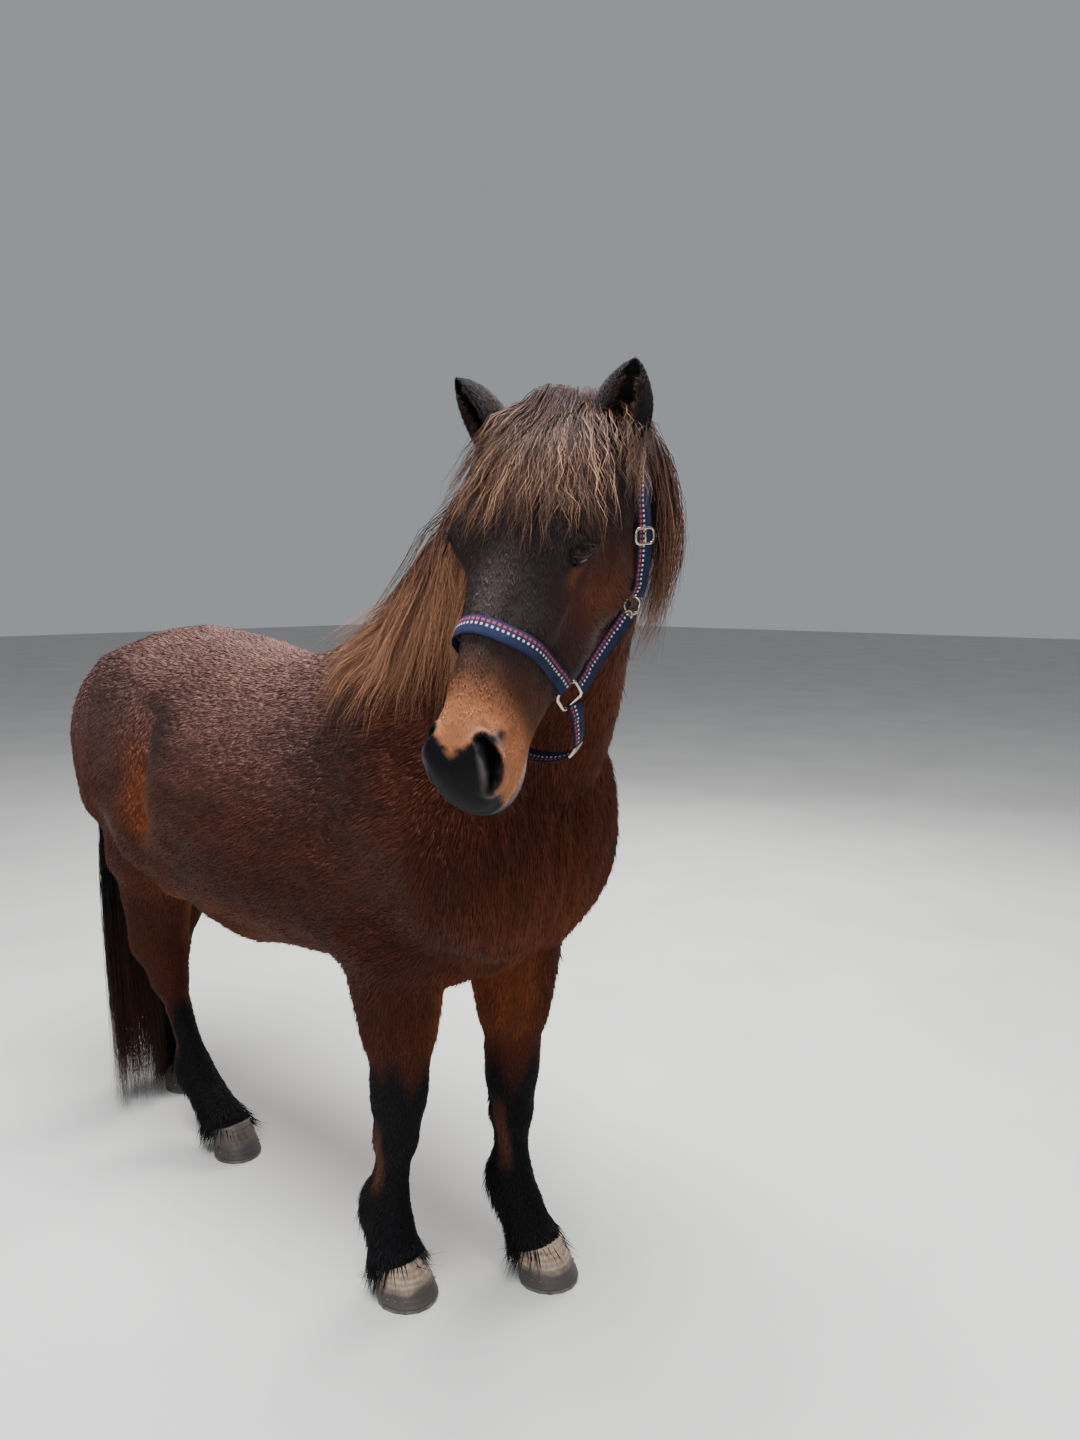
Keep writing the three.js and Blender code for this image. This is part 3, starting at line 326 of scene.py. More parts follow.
def neck_rings(spokes=36, count=26):
    rings = []
    for t in np.linspace(0, len(NECK_ROWS) - 1, count):
        rings.append([neck_point(t, j / spokes * TAU) for j in range(spokes)])
    return rings


# Materials
class Shader:
    """A material under construction, with short calls for the nodes that it needs."""

    def __init__(self, name):
        self.material = bpy.data.materials.new(name)
        self.material.use_nodes = True
        self.tree = self.material.node_tree
        self.surface = self.tree.nodes["Principled BSDF"]

    def node(self, kind, inputs=None, **settings):
        node = self.tree.nodes.new("ShaderNode" + kind)
        for key, value in settings.items():
            setattr(node, key, value)
        for key, value in (inputs or {}).items():
            self.set(node.inputs[key], value)
        return node

    def set(self, socket, value):
        if isinstance(value, bpy.types.NodeSocket):
            self.tree.links.new(value, socket)
        elif isinstance(value, tuple) and len(value) == 3 and socket.type == "RGBA":
            socket.default_value = (*value, 1)
        else:
            socket.default_value = value

    def shade(self, **inputs):
        for key, value in inputs.items():
            self.set(self.surface.inputs[key.replace("_", " ")], value)

    def coordinates(self):
        return self.node("TexCoord").outputs["Object"]

    def attribute(self, name, output="Color"):
        return self.node("Attribute", attribute_name=name).outputs[output]

    def noise(self, scale, detail=3, roughness=0.5, vector=None):
        vector = vector or self.coordinates()
        values = {"Vector": vector, "Scale": scale, "Detail": detail, "Roughness": roughness}
        return self.node("TexNoise", values).outputs["Fac"]

    def stretch(self, low, high, value, new_low=0.0, new_high=1.0):
        values = {"Value": value, "From Min": low, "From Max": high, "To Min": new_low, "To Max": new_high}
        return self.node("MapRange", values).outputs["Result"]

    def math(self, operation, first, second=0.0):
        return self.node("Math", {0: first, 1: second}, operation=operation).outputs[0]

    def mix(self, share, first, second, blend="MIX"):
        node = self.node("Mix", data_type="RGBA", blend_type=blend)
        self.set(node.inputs[0], share)
        self.set(node.inputs[6], first)
        self.set(node.inputs[7], second)
        return node.outputs[2]

    def bump(self, height, distance, strength=1.0):
        values = {"Height": height, "Distance": distance, "Strength": strength}
        return self.node("Bump", values).outputs["Normal"]

    def gap(self, value, middle):
        return self.math("ABSOLUTE", self.math("SUBTRACT", value, middle))


def skin_material():
    s = Shader("skin under the coat")
    patches = s.noise(9, 4, 0.6)
    strands = s.noise(130, 3, 0.65)
    colour = s.attribute("marking")
    darker = s.mix(0.5, colour, (0.3, 0.28, 0.28), "MULTIPLY")
    colour = s.mix(s.stretch(0.3, 0.62, patches, 0.35, 1.0), darker, colour)
    # Under the fur the skin is darker than the coat: its own dark tone, with painted shade between the
    # tufts.
    fur = s.mix(0.62, colour, (0.42, 0.38, 0.38), "MULTIPLY")
    bare = s.attribute("bare", "Fac")
    colour = s.mix(bare, fur, colour)
    pores = s.noise(420, 2, 0.6)
    height = s.mix(bare, strands, pores)
    gloss = s.stretch(0, 1, bare, 0.7, 0.55)
    s.shade(Base_Color=colour, Roughness=gloss, Normal=s.bump(height, 0.0012, 0.6))
    s.shade(Specular_IOR_Level=0.08)
    return s.material


def coat_material(name="coat", gloss=0.14):
    s = Shader(name)
    along = s.attribute("along", "Fac")
    root = s.attribute("marking")
    dark = s.mix(0.5, root, (0.4, 0.38, 0.38), "MULTIPLY")
    light = s.mix(0.5, root, (1.5, 1.32, 1.2), "MULTIPLY")
    patches = s.noise(7, 3, 0.6)
    light = s.mix(s.stretch(0.35, 0.65, patches, 0.0, 0.5), light, root)
    s.shade(Base_Color=s.mix(along, dark, light), Roughness=0.52)
    s.shade(Specular_IOR_Level=gloss)
    return s.material


def hair_material(name, tip_colour, start=0.12, roughness=0.45):
    """Long hair, dark at its root and bleached towards its tip as far as its strand is marked."""
    s = Shader(name)
    along = s.attribute("along", "Fac")
    bleach = s.attribute("bleach", "Fac")
    root = s.attribute("marking")
    grain = s.noise(160, 2)
    root = s.mix(s.stretch(0.35, 0.7, grain, 0, 0.5), root, (0.006, 0.004, 0.004))
    share = s.math("MULTIPLY", s.stretch(start, 0.85, along), bleach)
    s.shade(Base_Color=s.mix(share, root, tip_colour), Roughness=roughness)
    s.shade(Specular_IOR_Level=0.16)
    return s.material


def horn_material():
    s = Shader("hoof horn")
    where = s.coordinates()
    height = s.node("SeparateXYZ", {0: where}).outputs["Z"]
    waves = s.math("ADD", s.math("MULTIPLY", height, 1.0), s.math("MULTIPLY", s.noise(9, 2), 0.012))
    rings = s.node("TexWave", {"Vector": s.node("CombineXYZ", {"Z": waves}).outputs[0], "Scale": 30,
                               "Distortion": 1.2, "Detail": 2}, bands_direction="Z").outputs["Fac"]
    stretched = s.node("Mapping", {"Vector": where, "Scale": (9, 9, 0.7)}).outputs["Vector"]
    streaks = s.noise(30, 4, 0.6, stretched)
    horn = s.mix(s.stretch(0.3, 0.7, streaks), srgb(124, 106, 90), srgb(172, 150, 130))
    horn = s.mix(s.stretch(0.2, 0.8, rings, 0, 0.4), horn, srgb(92, 76, 64))
    behind = s.node("SeparateXYZ", {0: where}).outputs["Y"]
    horn = s.mix(s.stretch(0.1, 0.3, behind, 0, 0.86), horn, srgb(46, 40, 38))
    wander = s.math("MULTIPLY", s.noise(14, 3), 0.03)
    low = s.stretch(0.062, 0.046, s.math("ADD", height, wander))
    horn = s.mix(s.math("MULTIPLY", low, 0.95), horn, srgb(44, 41, 41))
    dirt = s.stretch(0.45, 0.75, s.noise(26, 5, 0.7), 0, 0.55)
    horn = s.mix(dirt, horn, srgb(70, 60, 54))
    bumps = s.math("ADD", rings, s.math("MULTIPLY", streaks, 0.6))
    s.shade(Base_Color=horn, Roughness=s.stretch(0, 1, dirt, 0.5, 0.85), Normal=s.bump(bumps, 0.0006, 0.6))
    return s.material


def metal_material(name, colour, rough, dirt_colour):
    s = Shader(name)
    marks = s.noise(90, 4, 0.7)
    rub = s.noise(35, 3, 0.6)
    base = s.mix(s.stretch(0.42, 0.7, rub, 0, 0.7), colour, dirt_colour)
    s.shade(Base_Color=base, Roughness=s.stretch(0.3, 0.7, marks, rough * 0.7, rough * 1.6),
            Normal=s.bump(marks, 0.0003, 0.5))
    s.shade(Metallic=1.0)
    return s.material


def webbing_material():
    s = Shader("woven webbing")
    along = s.attribute("strap_along", "Fac")
    across = s.attribute("strap_across", "Fac")
    step = s.math("FRACT", s.math("MULTIPLY", along, 1000 / 6.8))
    threads = s.math("MULTIPLY", along, 4200)
    lean = s.math("MULTIPLY", across, 40)
    rising = s.math("SINE", s.math("ADD", threads, lean))
    falling = s.math("SINE", s.math("SUBTRACT", threads, lean))
    weave = s.math("MAXIMUM", rising, falling)
    worn = s.noise(45, 4, 0.65)
    navy = s.mix(s.stretch(-0.4, 1.0, weave), srgb(12, 15, 36), srgb(26, 34, 66))
    navy = s.mix(s.stretch(0.5, 0.75, worn, 0, 0.35), navy, srgb(52, 60, 92))

    def band(middle, half):
        return s.stretch(half, half * 0.6, s.gap(across, middle))

    def dashes(start, length):
        return s.stretch(length / 2, length / 2 * 0.7, s.gap(step, start))

    blue = s.mix(s.math("MULTIPLY", band(0.22, 0.15), 0.7), navy, srgb(21, 31, 60))
    pink = s.mix(s.math("MULTIPLY", band(0.79, 0.085), dashes(0.5, 0.72)), blue, srgb(150, 58, 78))
    dots = s.math("MULTIPLY", band(0.56, 0.075), dashes(0.5, 0.5))
    colour = s.mix(dots, pink, srgb(206, 202, 196))
    colour = s.mix(s.stretch(0.44, 0.48, s.gap(across, 0.5)), colour, srgb(12, 15, 32))
    height = s.math("ADD", s.math("MULTIPLY", weave, 0.5), s.math("MULTIPLY", dots, 1.5))
    s.shade(Base_Color=colour, Roughness=0.78, Normal=s.bump(height, 0.0006, 0.8))
    s.shade(Specular_IOR_Level=0.2)
    return s.material


def eye_material():
    s = Shader("eye")
    iris = s.attribute("iris", "Fac")
    streaks = s.noise(900, 3, 0.7)
    brown = s.mix(s.stretch(0.3, 0.7, streaks), (0.022, 0.010, 0.006), (0.055, 0.026, 0.014))
    colour = s.mix(s.stretch(0.42, 0.5, iris), (0.004, 0.004, 0.006), brown)
    colour = s.mix(s.stretch(0.86, 0.98, iris), colour, (0.03, 0.02, 0.018))
    s.shade(Base_Color=colour, Roughness=0.06)
    s.shade(Specular_IOR_Level=0.12)
    return s.material


def lid_material():
    s = Shader("lid rim")
    tone = s.mix(s.stretch(0.35, 0.7, s.noise(160, 3)), srgb(16, 12, 12), srgb(34, 25, 22))
    s.shade(Specular_IOR_Level=0.2)
    s.shade(Base_Color=tone, Roughness=0.42, Normal=s.bump(s.noise(500, 3), 0.0004, 0.6))
    return s.material


def ear_material():
    s = Shader("ear skin")
    colour = s.attribute("marking")
    fine = s.noise(260, 3, 0.6)
    darker = s.mix(0.5, colour, (0.3, 0.3, 0.3), "MULTIPLY")
    colour = s.mix(s.stretch(0.3, 0.7, fine, 0.2, 0.8), darker, colour)
    s.shade(Base_Color=colour, Roughness=0.7, Normal=s.bump(fine, 0.0008, 0.7))
    s.shade(Specular_IOR_Level=0.12)
    return s.material


# Making meshes
def link(name, mesh):
    obj = bpy.data.objects.new(name, mesh)
    bpy.context.scene.collection.objects.link(obj)
    mesh.name = name
    mesh.shade_smooth()
    return obj


def finish_piece(obj, material, nodes=()):
    obj.data.materials.clear()
    obj.data.materials.append(material)
    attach(obj, "root")
    if nodes:
        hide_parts(*nodes)
    return obj


def loft(bm, rings, closed=False, marks=None):
    """Joins rings of points, in metres, into a surface whose ends are filled unless it is closed.

    marks gives a value for each ring and for each place round a ring, kept in two layers.
    """
    along = bm.verts.layers.float.get("strap_along")
    across = bm.verts.layers.float.get("strap_across")
    loops = []
    for i, ring in enumerate(rings):
        made = bmesh.ops.create_circle(bm, segments=len(ring), radius=1)["verts"]
        for j, (vert, point) in enumerate(zip(made, ring)):
            vert.co = Vector(point)
            if marks:
                vert[along] = marks[0][i]
                vert[across] = marks[1][j]
        loops.append(made)
    edges = [list({e for v in loop for e in v.link_edges}) for loop in loops]
    faces = []
    pairs = list(zip(edges, edges[1:]))
    if closed:
        pairs.append((edges[-1], edges[0]))
    for first, second in pairs:
        faces += bmesh.ops.bridge_loops(bm, edges=first + second)["faces"]
    if not closed:
        for loop in (loops[0], loops[-1]):
            faces.append(bm.faces.new(loop))
    bmesh.ops.recalc_face_normals(bm, faces=faces)
    return loops


def mesh_of(bm, name):
    mesh = bpy.data.meshes.new(name)
    bm.to_mesh(mesh)
    bm.free()
    return mesh


def new_piece(bm, name, material, nodes=()):
    """A piece of the model from a mesh under construction."""
    return finish_piece(link(name, mesh_of(bm, name)), material, nodes)


def coordinates(mesh):
    values = np.empty(len(mesh.vertices) * 3, np.float32)
    mesh.vertices.foreach_get("co", values)
    return values.reshape(-1, 3).astype(float)


def normals_of(mesh):
    values = np.empty(len(mesh.vertices) * 3, np.float32)
    mesh.vertex_normals.foreach_get("vector", values)
    return values.reshape(-1, 3).astype(float)


def triangles_of(mesh):
    mesh.calc_loop_triangles()
    values = np.empty(len(mesh.loop_triangles) * 3, np.int32)
    mesh.loop_triangles.foreach_get("vertices", values)
    return values.reshape(-1, 3)


def set_points(mesh, points):
    mesh.vertices.foreach_set("co", np.ascontiguousarray(points, np.float32).ravel())
    mesh.update()


def paint(mesh, name, values):
    """Keeps a colour or a single number at each point of a mesh, as an attribute."""
    values = np.asarray(values, np.float32)
    if values.ndim == 2:
        layer = mesh.attributes.new(name, "FLOAT_COLOR", "POINT")
        full = np.concatenate([values, np.ones((len(values), 1), np.float32)], 1)
        layer.data.foreach_set("color", full.ravel())
    else:
        layer = mesh.attributes.new(name, "FLOAT", "POINT")
        layer.data.foreach_set("value", values)


class Web:
    """The edges of a mesh, to even out values between neighbouring points."""

    def __init__(self, mesh):
        edges = np.empty(len(mesh.edges) * 2, np.int32)
        mesh.edges.foreach_get("vertices", edges)
        self.a, self.b = edges.reshape(-1, 2).T
        self.size = len(mesh.vertices)
        self.count = np.bincount(self.a, minlength=self.size) + np.bincount(self.b, minlength=self.size)

    def sums(self, column):
        """The sum of the values of each point's neighbours."""
        total = np.bincount(self.a, column[self.b], self.size)
        return total + np.bincount(self.b, column[self.a], self.size)

    def even(self, values, rounds, share):
        """The values after rounds that each move them by a share towards their neighbours' average."""
        for _ in range(rounds):
            average = np.stack([self.sums(column) for column in values.T], 1) / self.count[:, None]
            values = values + (average - values) * share
        return values


def triangle_mesh(name, points, faces):
    mesh = bpy.data.meshes.new(name)
    mesh.vertices.add(len(points))
    set_points(mesh, points)
    mesh.loops.add(len(faces) * 3)
    mesh.loops.foreach_set("vertex_index", np.ascontiguousarray(faces, np.int32).ravel())
    mesh.polygons.add(len(faces))
    mesh.polygons.foreach_set("loop_start", np.arange(len(faces), dtype=np.int32) * 3)
    mesh.update(calc_edges=True)
    return mesh


def set_map(mesh, places):
    """Writes the map that materials are baked on, from a place for each point of a mesh."""
    layer = mesh.uv_layers.new(name="OFBake")
    corners = np.empty(len(mesh.loops), np.int32)
    mesh.loops.foreach_get("vertex_index", corners)
    layer.data.foreach_set("uv", np.ascontiguousarray(places[corners], np.float32).ravel())


# The skin
def applied(obj):
    """The mesh of an object with its modifiers applied; the object itself is removed."""
    bpy.context.view_layer.update()
    graph = bpy.context.evaluated_depsgraph_get()
    mesh = bpy.data.meshes.new_from_object(obj.evaluated_get(graph))
    bpy.data.objects.remove(obj)
    return mesh


def rough_skin():
    """The whole body as one closed surface, before its fine forms."""
    bm = bmesh.new()
    for name in ("torso", "foreleg_left", "foreleg_right", "hindleg_left", "hindleg_right"):
        start = len(bm.verts)
        bm.from_mesh(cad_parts[name].data)
        bm.verts.ensure_lookup_table()
        bmesh.ops.remove_doubles(bm, verts=bm.verts[start:], dist=1e-5)
        bm.verts.ensure_lookup_table()
    loft(bm, [place(ring) for ring in chest_form.rings(20, 48)])
    loft(bm, [place(ring) for ring in neck_rings()])
    loft(bm, [on_head(ring) for ring in head_form.rings(56, 48)])
    obj = link("rough_skin", mesh_of(bm, "rough_skin"))
    modifier = obj.modifiers.new("shape", "REMESH")
    modifier.mode = "VOXEL"
    modifier.voxel_size = SKIN_VOXEL
    return applied(obj)


def finer_head(mesh):
    """More faces on the head, and more again at the eyes, nostrils and mouth."""
    bm = bmesh.new()
    bm.from_mesh(mesh)
    for level in range(2):
        places = head_frame(np.array([f.calc_center_median() for f in bm.faces]))
        x, y, z = places.T
        near = (y < 60) & (y > -640) & (z > -260) & (z < 150) & (np.abs(x) < 180)
        if level:
            eye = np.linalg.norm((np.stack([np.abs(x), y, z], 1) - EYE_PLACE) / [60, 42, 38], axis=1) < 1
            near &= eye | ((y < -455) & (z > -110))
        edges = list({e for f, use in zip(bm.faces, near) if use for e in f.edges})
        bmesh.ops.subdivide_edges(bm, edges=edges, cuts=1, use_grid_fill=True)
    bm.to_mesh(mesh)
    bm.free()
    return mesh


def line_gap(points, path):
    gaps = []
    for start, end in zip(path, path[1:]):
        start, end = np.asarray(start, float), np.asarray(end, float)
        along = end - start
        f = np.clip((points - start) @ along / along.dot(along), 0, 1)
        gaps.append(np.linalg.norm(points - start - f[:, None] * along, axis=1))
    return np.min(gaps, axis=0)


def ridge(points, start, end, width):
    """How near each point is to a line, from 0 to 1 on it, falling off over the width."""
    return np.exp(-((line_gap(points, [start, end]) / width) ** 2))


def spot(points, centre, radii):
    """How near each point is to the middle of an oval spot, from 0 outside to 1 at its middle."""
    p = (points - np.asarray(centre, float)) / np.asarray(radii, float)
    return np.exp(-np.sum(p * p, axis=1))


# Edges of muscle and hollows on the left side of the body: start, end, width, height
BODY_FORMS = [
    ([240, -10, 1180], [236, -50, 1000], 26, -6),
    ([248, 160, 1210], [236, 200, 960], 32, -8),
    ([226, 60, 1240], [240, 110, 1010], 26, 5),
    ([200, 40, 840], [205, 130, 790], 28, -7),
    ([30, -236, 1060], [24, -200, 800], 20, -6),
    ([60, -210, 800], [140, -130, 720], 24, -5),
    ([240, 850, 1150], [215, 900, 900], 40, -26),
    ([250, 770, 1080], [235, 800, 880], 60, 9),
    ([236, 880, 900], [190, 935, 770], 30, -14),
    ([150, 1290, 930], [140, 1230, 770], 62, 16),
    ([110, 640, 660], [120, 860, 740], 90, 26),
    ([258, 950, 1230], [256, 975, 1040], 30, 6),
    ([245, 1110, 1220], [215, 1215, 960], 26, -8),
    ([215, 960, 830], [190, 1010, 720], 26, -5),
    ([270, 700, 860], [240, 850, 900], 30, -6),
    ([0, 330, 1340], [0, 900, 1360], 24, -3),
    ([0, 1000, 1370], [0, 1230, 1310], 22, -7),
    ([120, 960, 1345], [190, 1010, 1250], 30, 5),
]
# Tendons and joints of the legs: leg, sideways offset, y offset, from z, to z, width, height
LEG_FORMS = [
    ("fore", 44, 20, 400, 470, 20, 3),
    ("fore", -44, 20, 400, 470, 20, 3),
    ("fore", 34, 22, 220, 380, 9, -4),
    ("fore", -34, 22, 220, 380, 9, -4),
    ("hind", 40, 30, 210, 420, 10, -4),
    ("hind", -40, 30, 210, 420, 10, -4),
    ("hind", 0, 74, 500, 540, 20, 6),
]
# Middle lines of the legs, from the top down: z, x, y
LEG_LINES = {
    "foreleg_right": [
        [880, -130, 92], [740, -132, 100], [600, -130, 100], [440, -130, 98], [300, -131, 112],
        [168, -132, 134], [105, -132, 122], [62, -133, 107], [40, -133, 103],
    ],
    "foreleg_left": [
        [880, 130, 56], [740, 128, 32], [600, 120, 20], [440, 114, 16], [300, 110, 12],
        [168, 107, 0], [105, 107, -34], [62, 107, -62], [40, 107, -71],
    ],
    "hindleg_right": [
        [1020, -142, 1070], [880, -136, 1056], [740, -118, 1054], [610, -98, 1084], [525, -86, 1106],
        [485, -82, 1106], [445, -79, 1096], [300, -68, 1052], [148, -58, 978], [98, -54, 914],
        [62, -52, 868], [40, -52, 856],
    ],
    "hindleg_left": [
        [1020, 138, 1130], [880, 132, 1140], [740, 116, 1180], [610, 92, 1252], [525, 80, 1308],
        [485, 74, 1324], [445, 72, 1330], [300, 66, 1344], [148, 61, 1356], [98, 60, 1330],
        [62, 60, 1306], [40, 60, 1300],
    ],
}


# Fullness of the legs: leg, from z, to z, y direction that it faces, height
LEG_SWELLS = [
    ("fore", 330, 720, 0, 9),
    ("fore", 60, 120, -1, 4),
    ("hind", 500, 760, 1, 15),
    ("hind", 760, 900, 1, 26),
    ("hind", 500, 760, -1, 8),
    ("hind", 60, 120, -1, 4),
    ("hind", 400, 700, 1, 18),
    ("hind", 420, 700, -1, 6),
    ("hind", 90, 190, 1, 16),
    ("fore", 90, 190, 1, 10),
    ("fore", 560, 740, 0, 7),
    ("fore", 150, 330, 0, 4),
]


def leg_middle(name, heights):
    rows = np.array(LEG_LINES[name][::-1], float)
    return np.stack([np.interp(heights, rows[:, 0], rows[:, k]) for k in (1, 2)], 1)


def nearest_leg(p):
    """For points in the body's frame: the leg's index, and the offset from its middle line."""
    names = list(LEG_LINES)
    offsets = np.stack([p[:, :2] - leg_middle(name, p[:, 2]) for name in names])
    gaps = np.linalg.norm(offsets, axis=2)
    best = np.argmin(gaps, axis=0)
    return best, offsets[best, np.arange(len(p))], gaps[best, np.arange(len(p))]


def shape_body(points, normals):
    """Muscle edges and hollows on the trunk, and tendons on the legs."""
    p = body_frame(points)
    q = one_side(p)
    height = np.zeros(len(p))
    for start, end, width, rise in BODY_FORMS:
        height += rise * ridge(q, start, end, width)
    ribs = np.sin((q[:, 1] + 0.25 * q[:, 2]) / 52 * TAU) * 0.8
    height += ribs * spot(q, [250, 560, 980], [90, 210, 150])
    best, offset, gap = nearest_leg(p)
    fore = best < 2
    for kind, across, behind, low, high, width, rise in LEG_FORMS:
        use = fore if kind == "fore" else ~fore
        level = ramp(low - 30, low, p[:, 2]) * (1 - ramp(high, high + 30, p[:, 2]))
        near = np.exp(-((offset[:, 0] - across) ** 2 + (offset[:, 1] - behind) ** 2) / width**2)
        height += rise * use * level * near
    near_line = ramp(np.where(p[:, 2] > 700, 250, 170), 120, gap)
    for kind, low, high, facing, rise in LEG_SWELLS:
        use = fore if kind == "fore" else ~fore
        level = ramp(low - 60, low, p[:, 2]) * (1 - ramp(high, high + 70, p[:, 2])) * near_line
        share = 1 if facing == 0 else np.clip(0.5 + facing * normals[:, 1], 0, 1)
        height += rise * use * level * share
    return points + normals * (height * MM)[:, None]


# Middle line of the nostril's slit and line of the mouth, on the left side of the head
NOSTRIL = [[42, -484, 18], [49, -490, 13], [55, -500, 2], [57, -513, -11], [52, -525, -21], [44, -531, -25]]
MOUTH = [[62, -462, -84], [60, -482, -84], [56, -506, -84], [46, -530, -80], [28, -550, -76], [0, -560, -75]]


def shape_head(points, normals):
    """Sockets, cheek ridges, nostrils, lips and the line of the mouth."""
    p = head_frame(points)
    for side in (-1, 1):
        centre = EYE_PLACE * [side, 1, 1]
        off = p - centre
        gap = np.linalg.norm(off, axis=1)
        share = ramp(0.2, 0.78, (off @ eye_axis(side)) / np.maximum(gap, 1)) * (gap < 60)
        target = centre + unit(off) * (EYE_RADIUS + 2.4)
        p = p + (target - p) * share[:, None]
        points = np.where((share > 0)[:, None], on_head(p), points)
    near = (p[:, 1] < 90) & (p[:, 1] > -660) & (np.abs(p[:, 0]) < 200) & (np.abs(p[:, 2]) < 280)
    q = one_side(p)
    rise = 5 * ridge(q, [88, -244, 0], [58, -330, -16], 9)
    rise -= 5 * ridge(q, [80, -262, -34], [58, -380, -44], 16)
    rise -= 6 * spot(q, [60, -150, 62], [22, 26, 30])
    rise += 5 * ridge(q, [70, -186, 66], [98, -204, 50], 12)
    rise -= 3 * ridge(q, [36, -300, 42], [32, -430, 36], 12)
    rise -= 5 * ridge(q, [108, -60, -60], [60, -150, -190], 22)
    rise += 3 * ridge(q, [48, -440, -20], [30, -420, 26], 16)
    rise -= 4 * ridge(q, [60, -430, -62], [62, -462, -84], 14)
    gap = line_gap(q, NOSTRIL)
    width = np.interp(-q[:, 1], [482, 492, 504, 518, 531], [5, 8, 11, 12, 8])
    inside = np.clip(1 - (gap / width) ** 2, 0, 1) ** 0.5
    rim = np.exp(-(((gap - width - 5) / 5) ** 2)) * 4.5
    wing = spot(q, [38, -506, 6], [14, 18, 12]) * 5
    to_right = head_turn @ unit([-0.5, 0.75, -0.3])
    to_left = head_turn @ unit([0.5, 0.75, -0.3])
    inward = np.where(p[:, :1] > 0, to_right, to_left)
    mouth_gap = line_gap(q, MOUTH)
    lips = np.exp(-((mouth_gap / 3.0) ** 2)) * -6 + np.exp(-(((mouth_gap - 11) / 7) ** 2)) * 2.5
    points = points + normals * ((rise + rim + wing + lips) * near * MM)[:, None]
    return points + inward * (inside * 30 * near * MM)[:, None]


def eye_axis(side):
    return unit([side * 0.86, -0.24, 0.44])


def eye_axes(side):
    """Directions out of the eye, along its opening towards the ear, and up across the opening."""
    axis = eye_axis(side)
    along = np.array([0, 0.72, -0.62])
    along = unit(along - axis * along.dot(axis))
    return axis, along, unit(np.cross(axis, along)) * side


def lid_offset(angle):
    """Where the rim of the lids is at an angle: along the eye's opening, and up across it."""
    length = LID_HALF * math.cos(angle)
    lift = LID_ABOVE if math.sin(angle) > 0 else LID_BELOW
    narrow = 1 - 0.45 * abs(math.cos(angle)) ** 3
    return length, lift * math.sin(angle) * narrow - LID_SLANT * length - LID_DROP


def almond_cutter(side):
    """A solid with the outline of the opened lids, standing out from the eye."""
    bm = bmesh.new()
    axis, along, upwards = eye_axes(side)
    rings = []
    centre = EYE_PLACE * [side, 1, 1]
    for out in (2, 14, 26, 40, 60):
        grow = 1 + max(out - 20, 0) * 0.01
        ring = []
        for j in range(40):
            length, height = lid_offset(j / 40 * TAU)
            ring.append(centre + axis * out + along * length * grow + upwards * height * grow)
        rings.append(on_head(ring))
    loft(bm, rings)
    return link("lid_opening", mesh_of(bm, "lid_opening"))


def eyeball(side, grow=0.0, segments=40):
    """The ball of the eye with its clear bulge; a layer says how far from its middle a point is."""
    bm = bmesh.new()
    layer = bm.verts.layers.float.new("iris")
    made = bmesh.ops.create_uvsphere(bm, u_segments=segments, v_segments=segments // 2, radius=1)["verts"]
    turn = Vector((0, 0, 1)).rotation_difference(Vector(eye_axis(side)))
    for vert in made:
        off = math.acos(max(-1, min(1, vert.co.z)))
        bulge = 1 + 0.07 * max(0, 1 - (off / 0.75) ** 2)
        vert[layer] = min(off / 0.75, 1.5)
        radius = (EYE_RADIUS + grow) * (bulge if grow == 0 else 1)
        vert.co = Vector(on_head([np.array(turn @ vert.co) * radius + EYE_PLACE * [side, 1, 1]])[0])
    return mesh_of(bm, "eyeball")


def cut(obj, cutters):
    """Takes other closed shapes out of an object's mesh."""
    for cutter in cutters:
        modifier = obj.modifiers.new("cut", "BOOLEAN")
        modifier.operation = "DIFFERENCE"
        modifier.solver = "MANIFOLD"
        modifier.object = cutter
    mesh = applied(obj)
    for cutter in cutters:
        bpy.data.objects.remove(cutter)
    return mesh


def make_skin_mesh():
    mesh = rough_skin()
    points = Web(mesh).even(coordinates(mesh), 12, 0.6)
    set_points(mesh, points)
    mesh = finer_head(mesh)
    web = Web(mesh)
    points = web.even(coordinates(mesh), 3, 0.5)
    set_points(mesh, points)
    normals = normals_of(mesh)
    local = head_frame(points)
    face = np.clip((-local[:, 1] - 20) / 160, 0, 1) * (np.abs(local[:, 0]) < 200) * (local[:, 2] > -260)
    depth = COAT_DEPTH - (COAT_DEPTH - FACE_DEPTH) * face
    points = points - normals * (depth * MM)[:, None]
    points = shape_body(points, normals)
    set_points(mesh, points)
    smooth = web.even(points, 10, 0.6)
    here = body_frame(points)
    flank = spot(here * [0, 1, 1], [0, 790, 1010], [1, 230, 260])
    points = points + (smooth - points) * (1.3 * flank).clip(0, 1)[:, None]
    set_points(mesh, points)
    points = shape_head(points, normals_of(mesh))
    set_points(mesh, points)
    skin = link("skin", mesh)
    cutters = []
    for side in (-1, 1):
        cutters.append(almond_cutter(side))
        cutters.append(link("socket", eyeball(side, 0.4, 32)))
    return cut(skin, cutters)


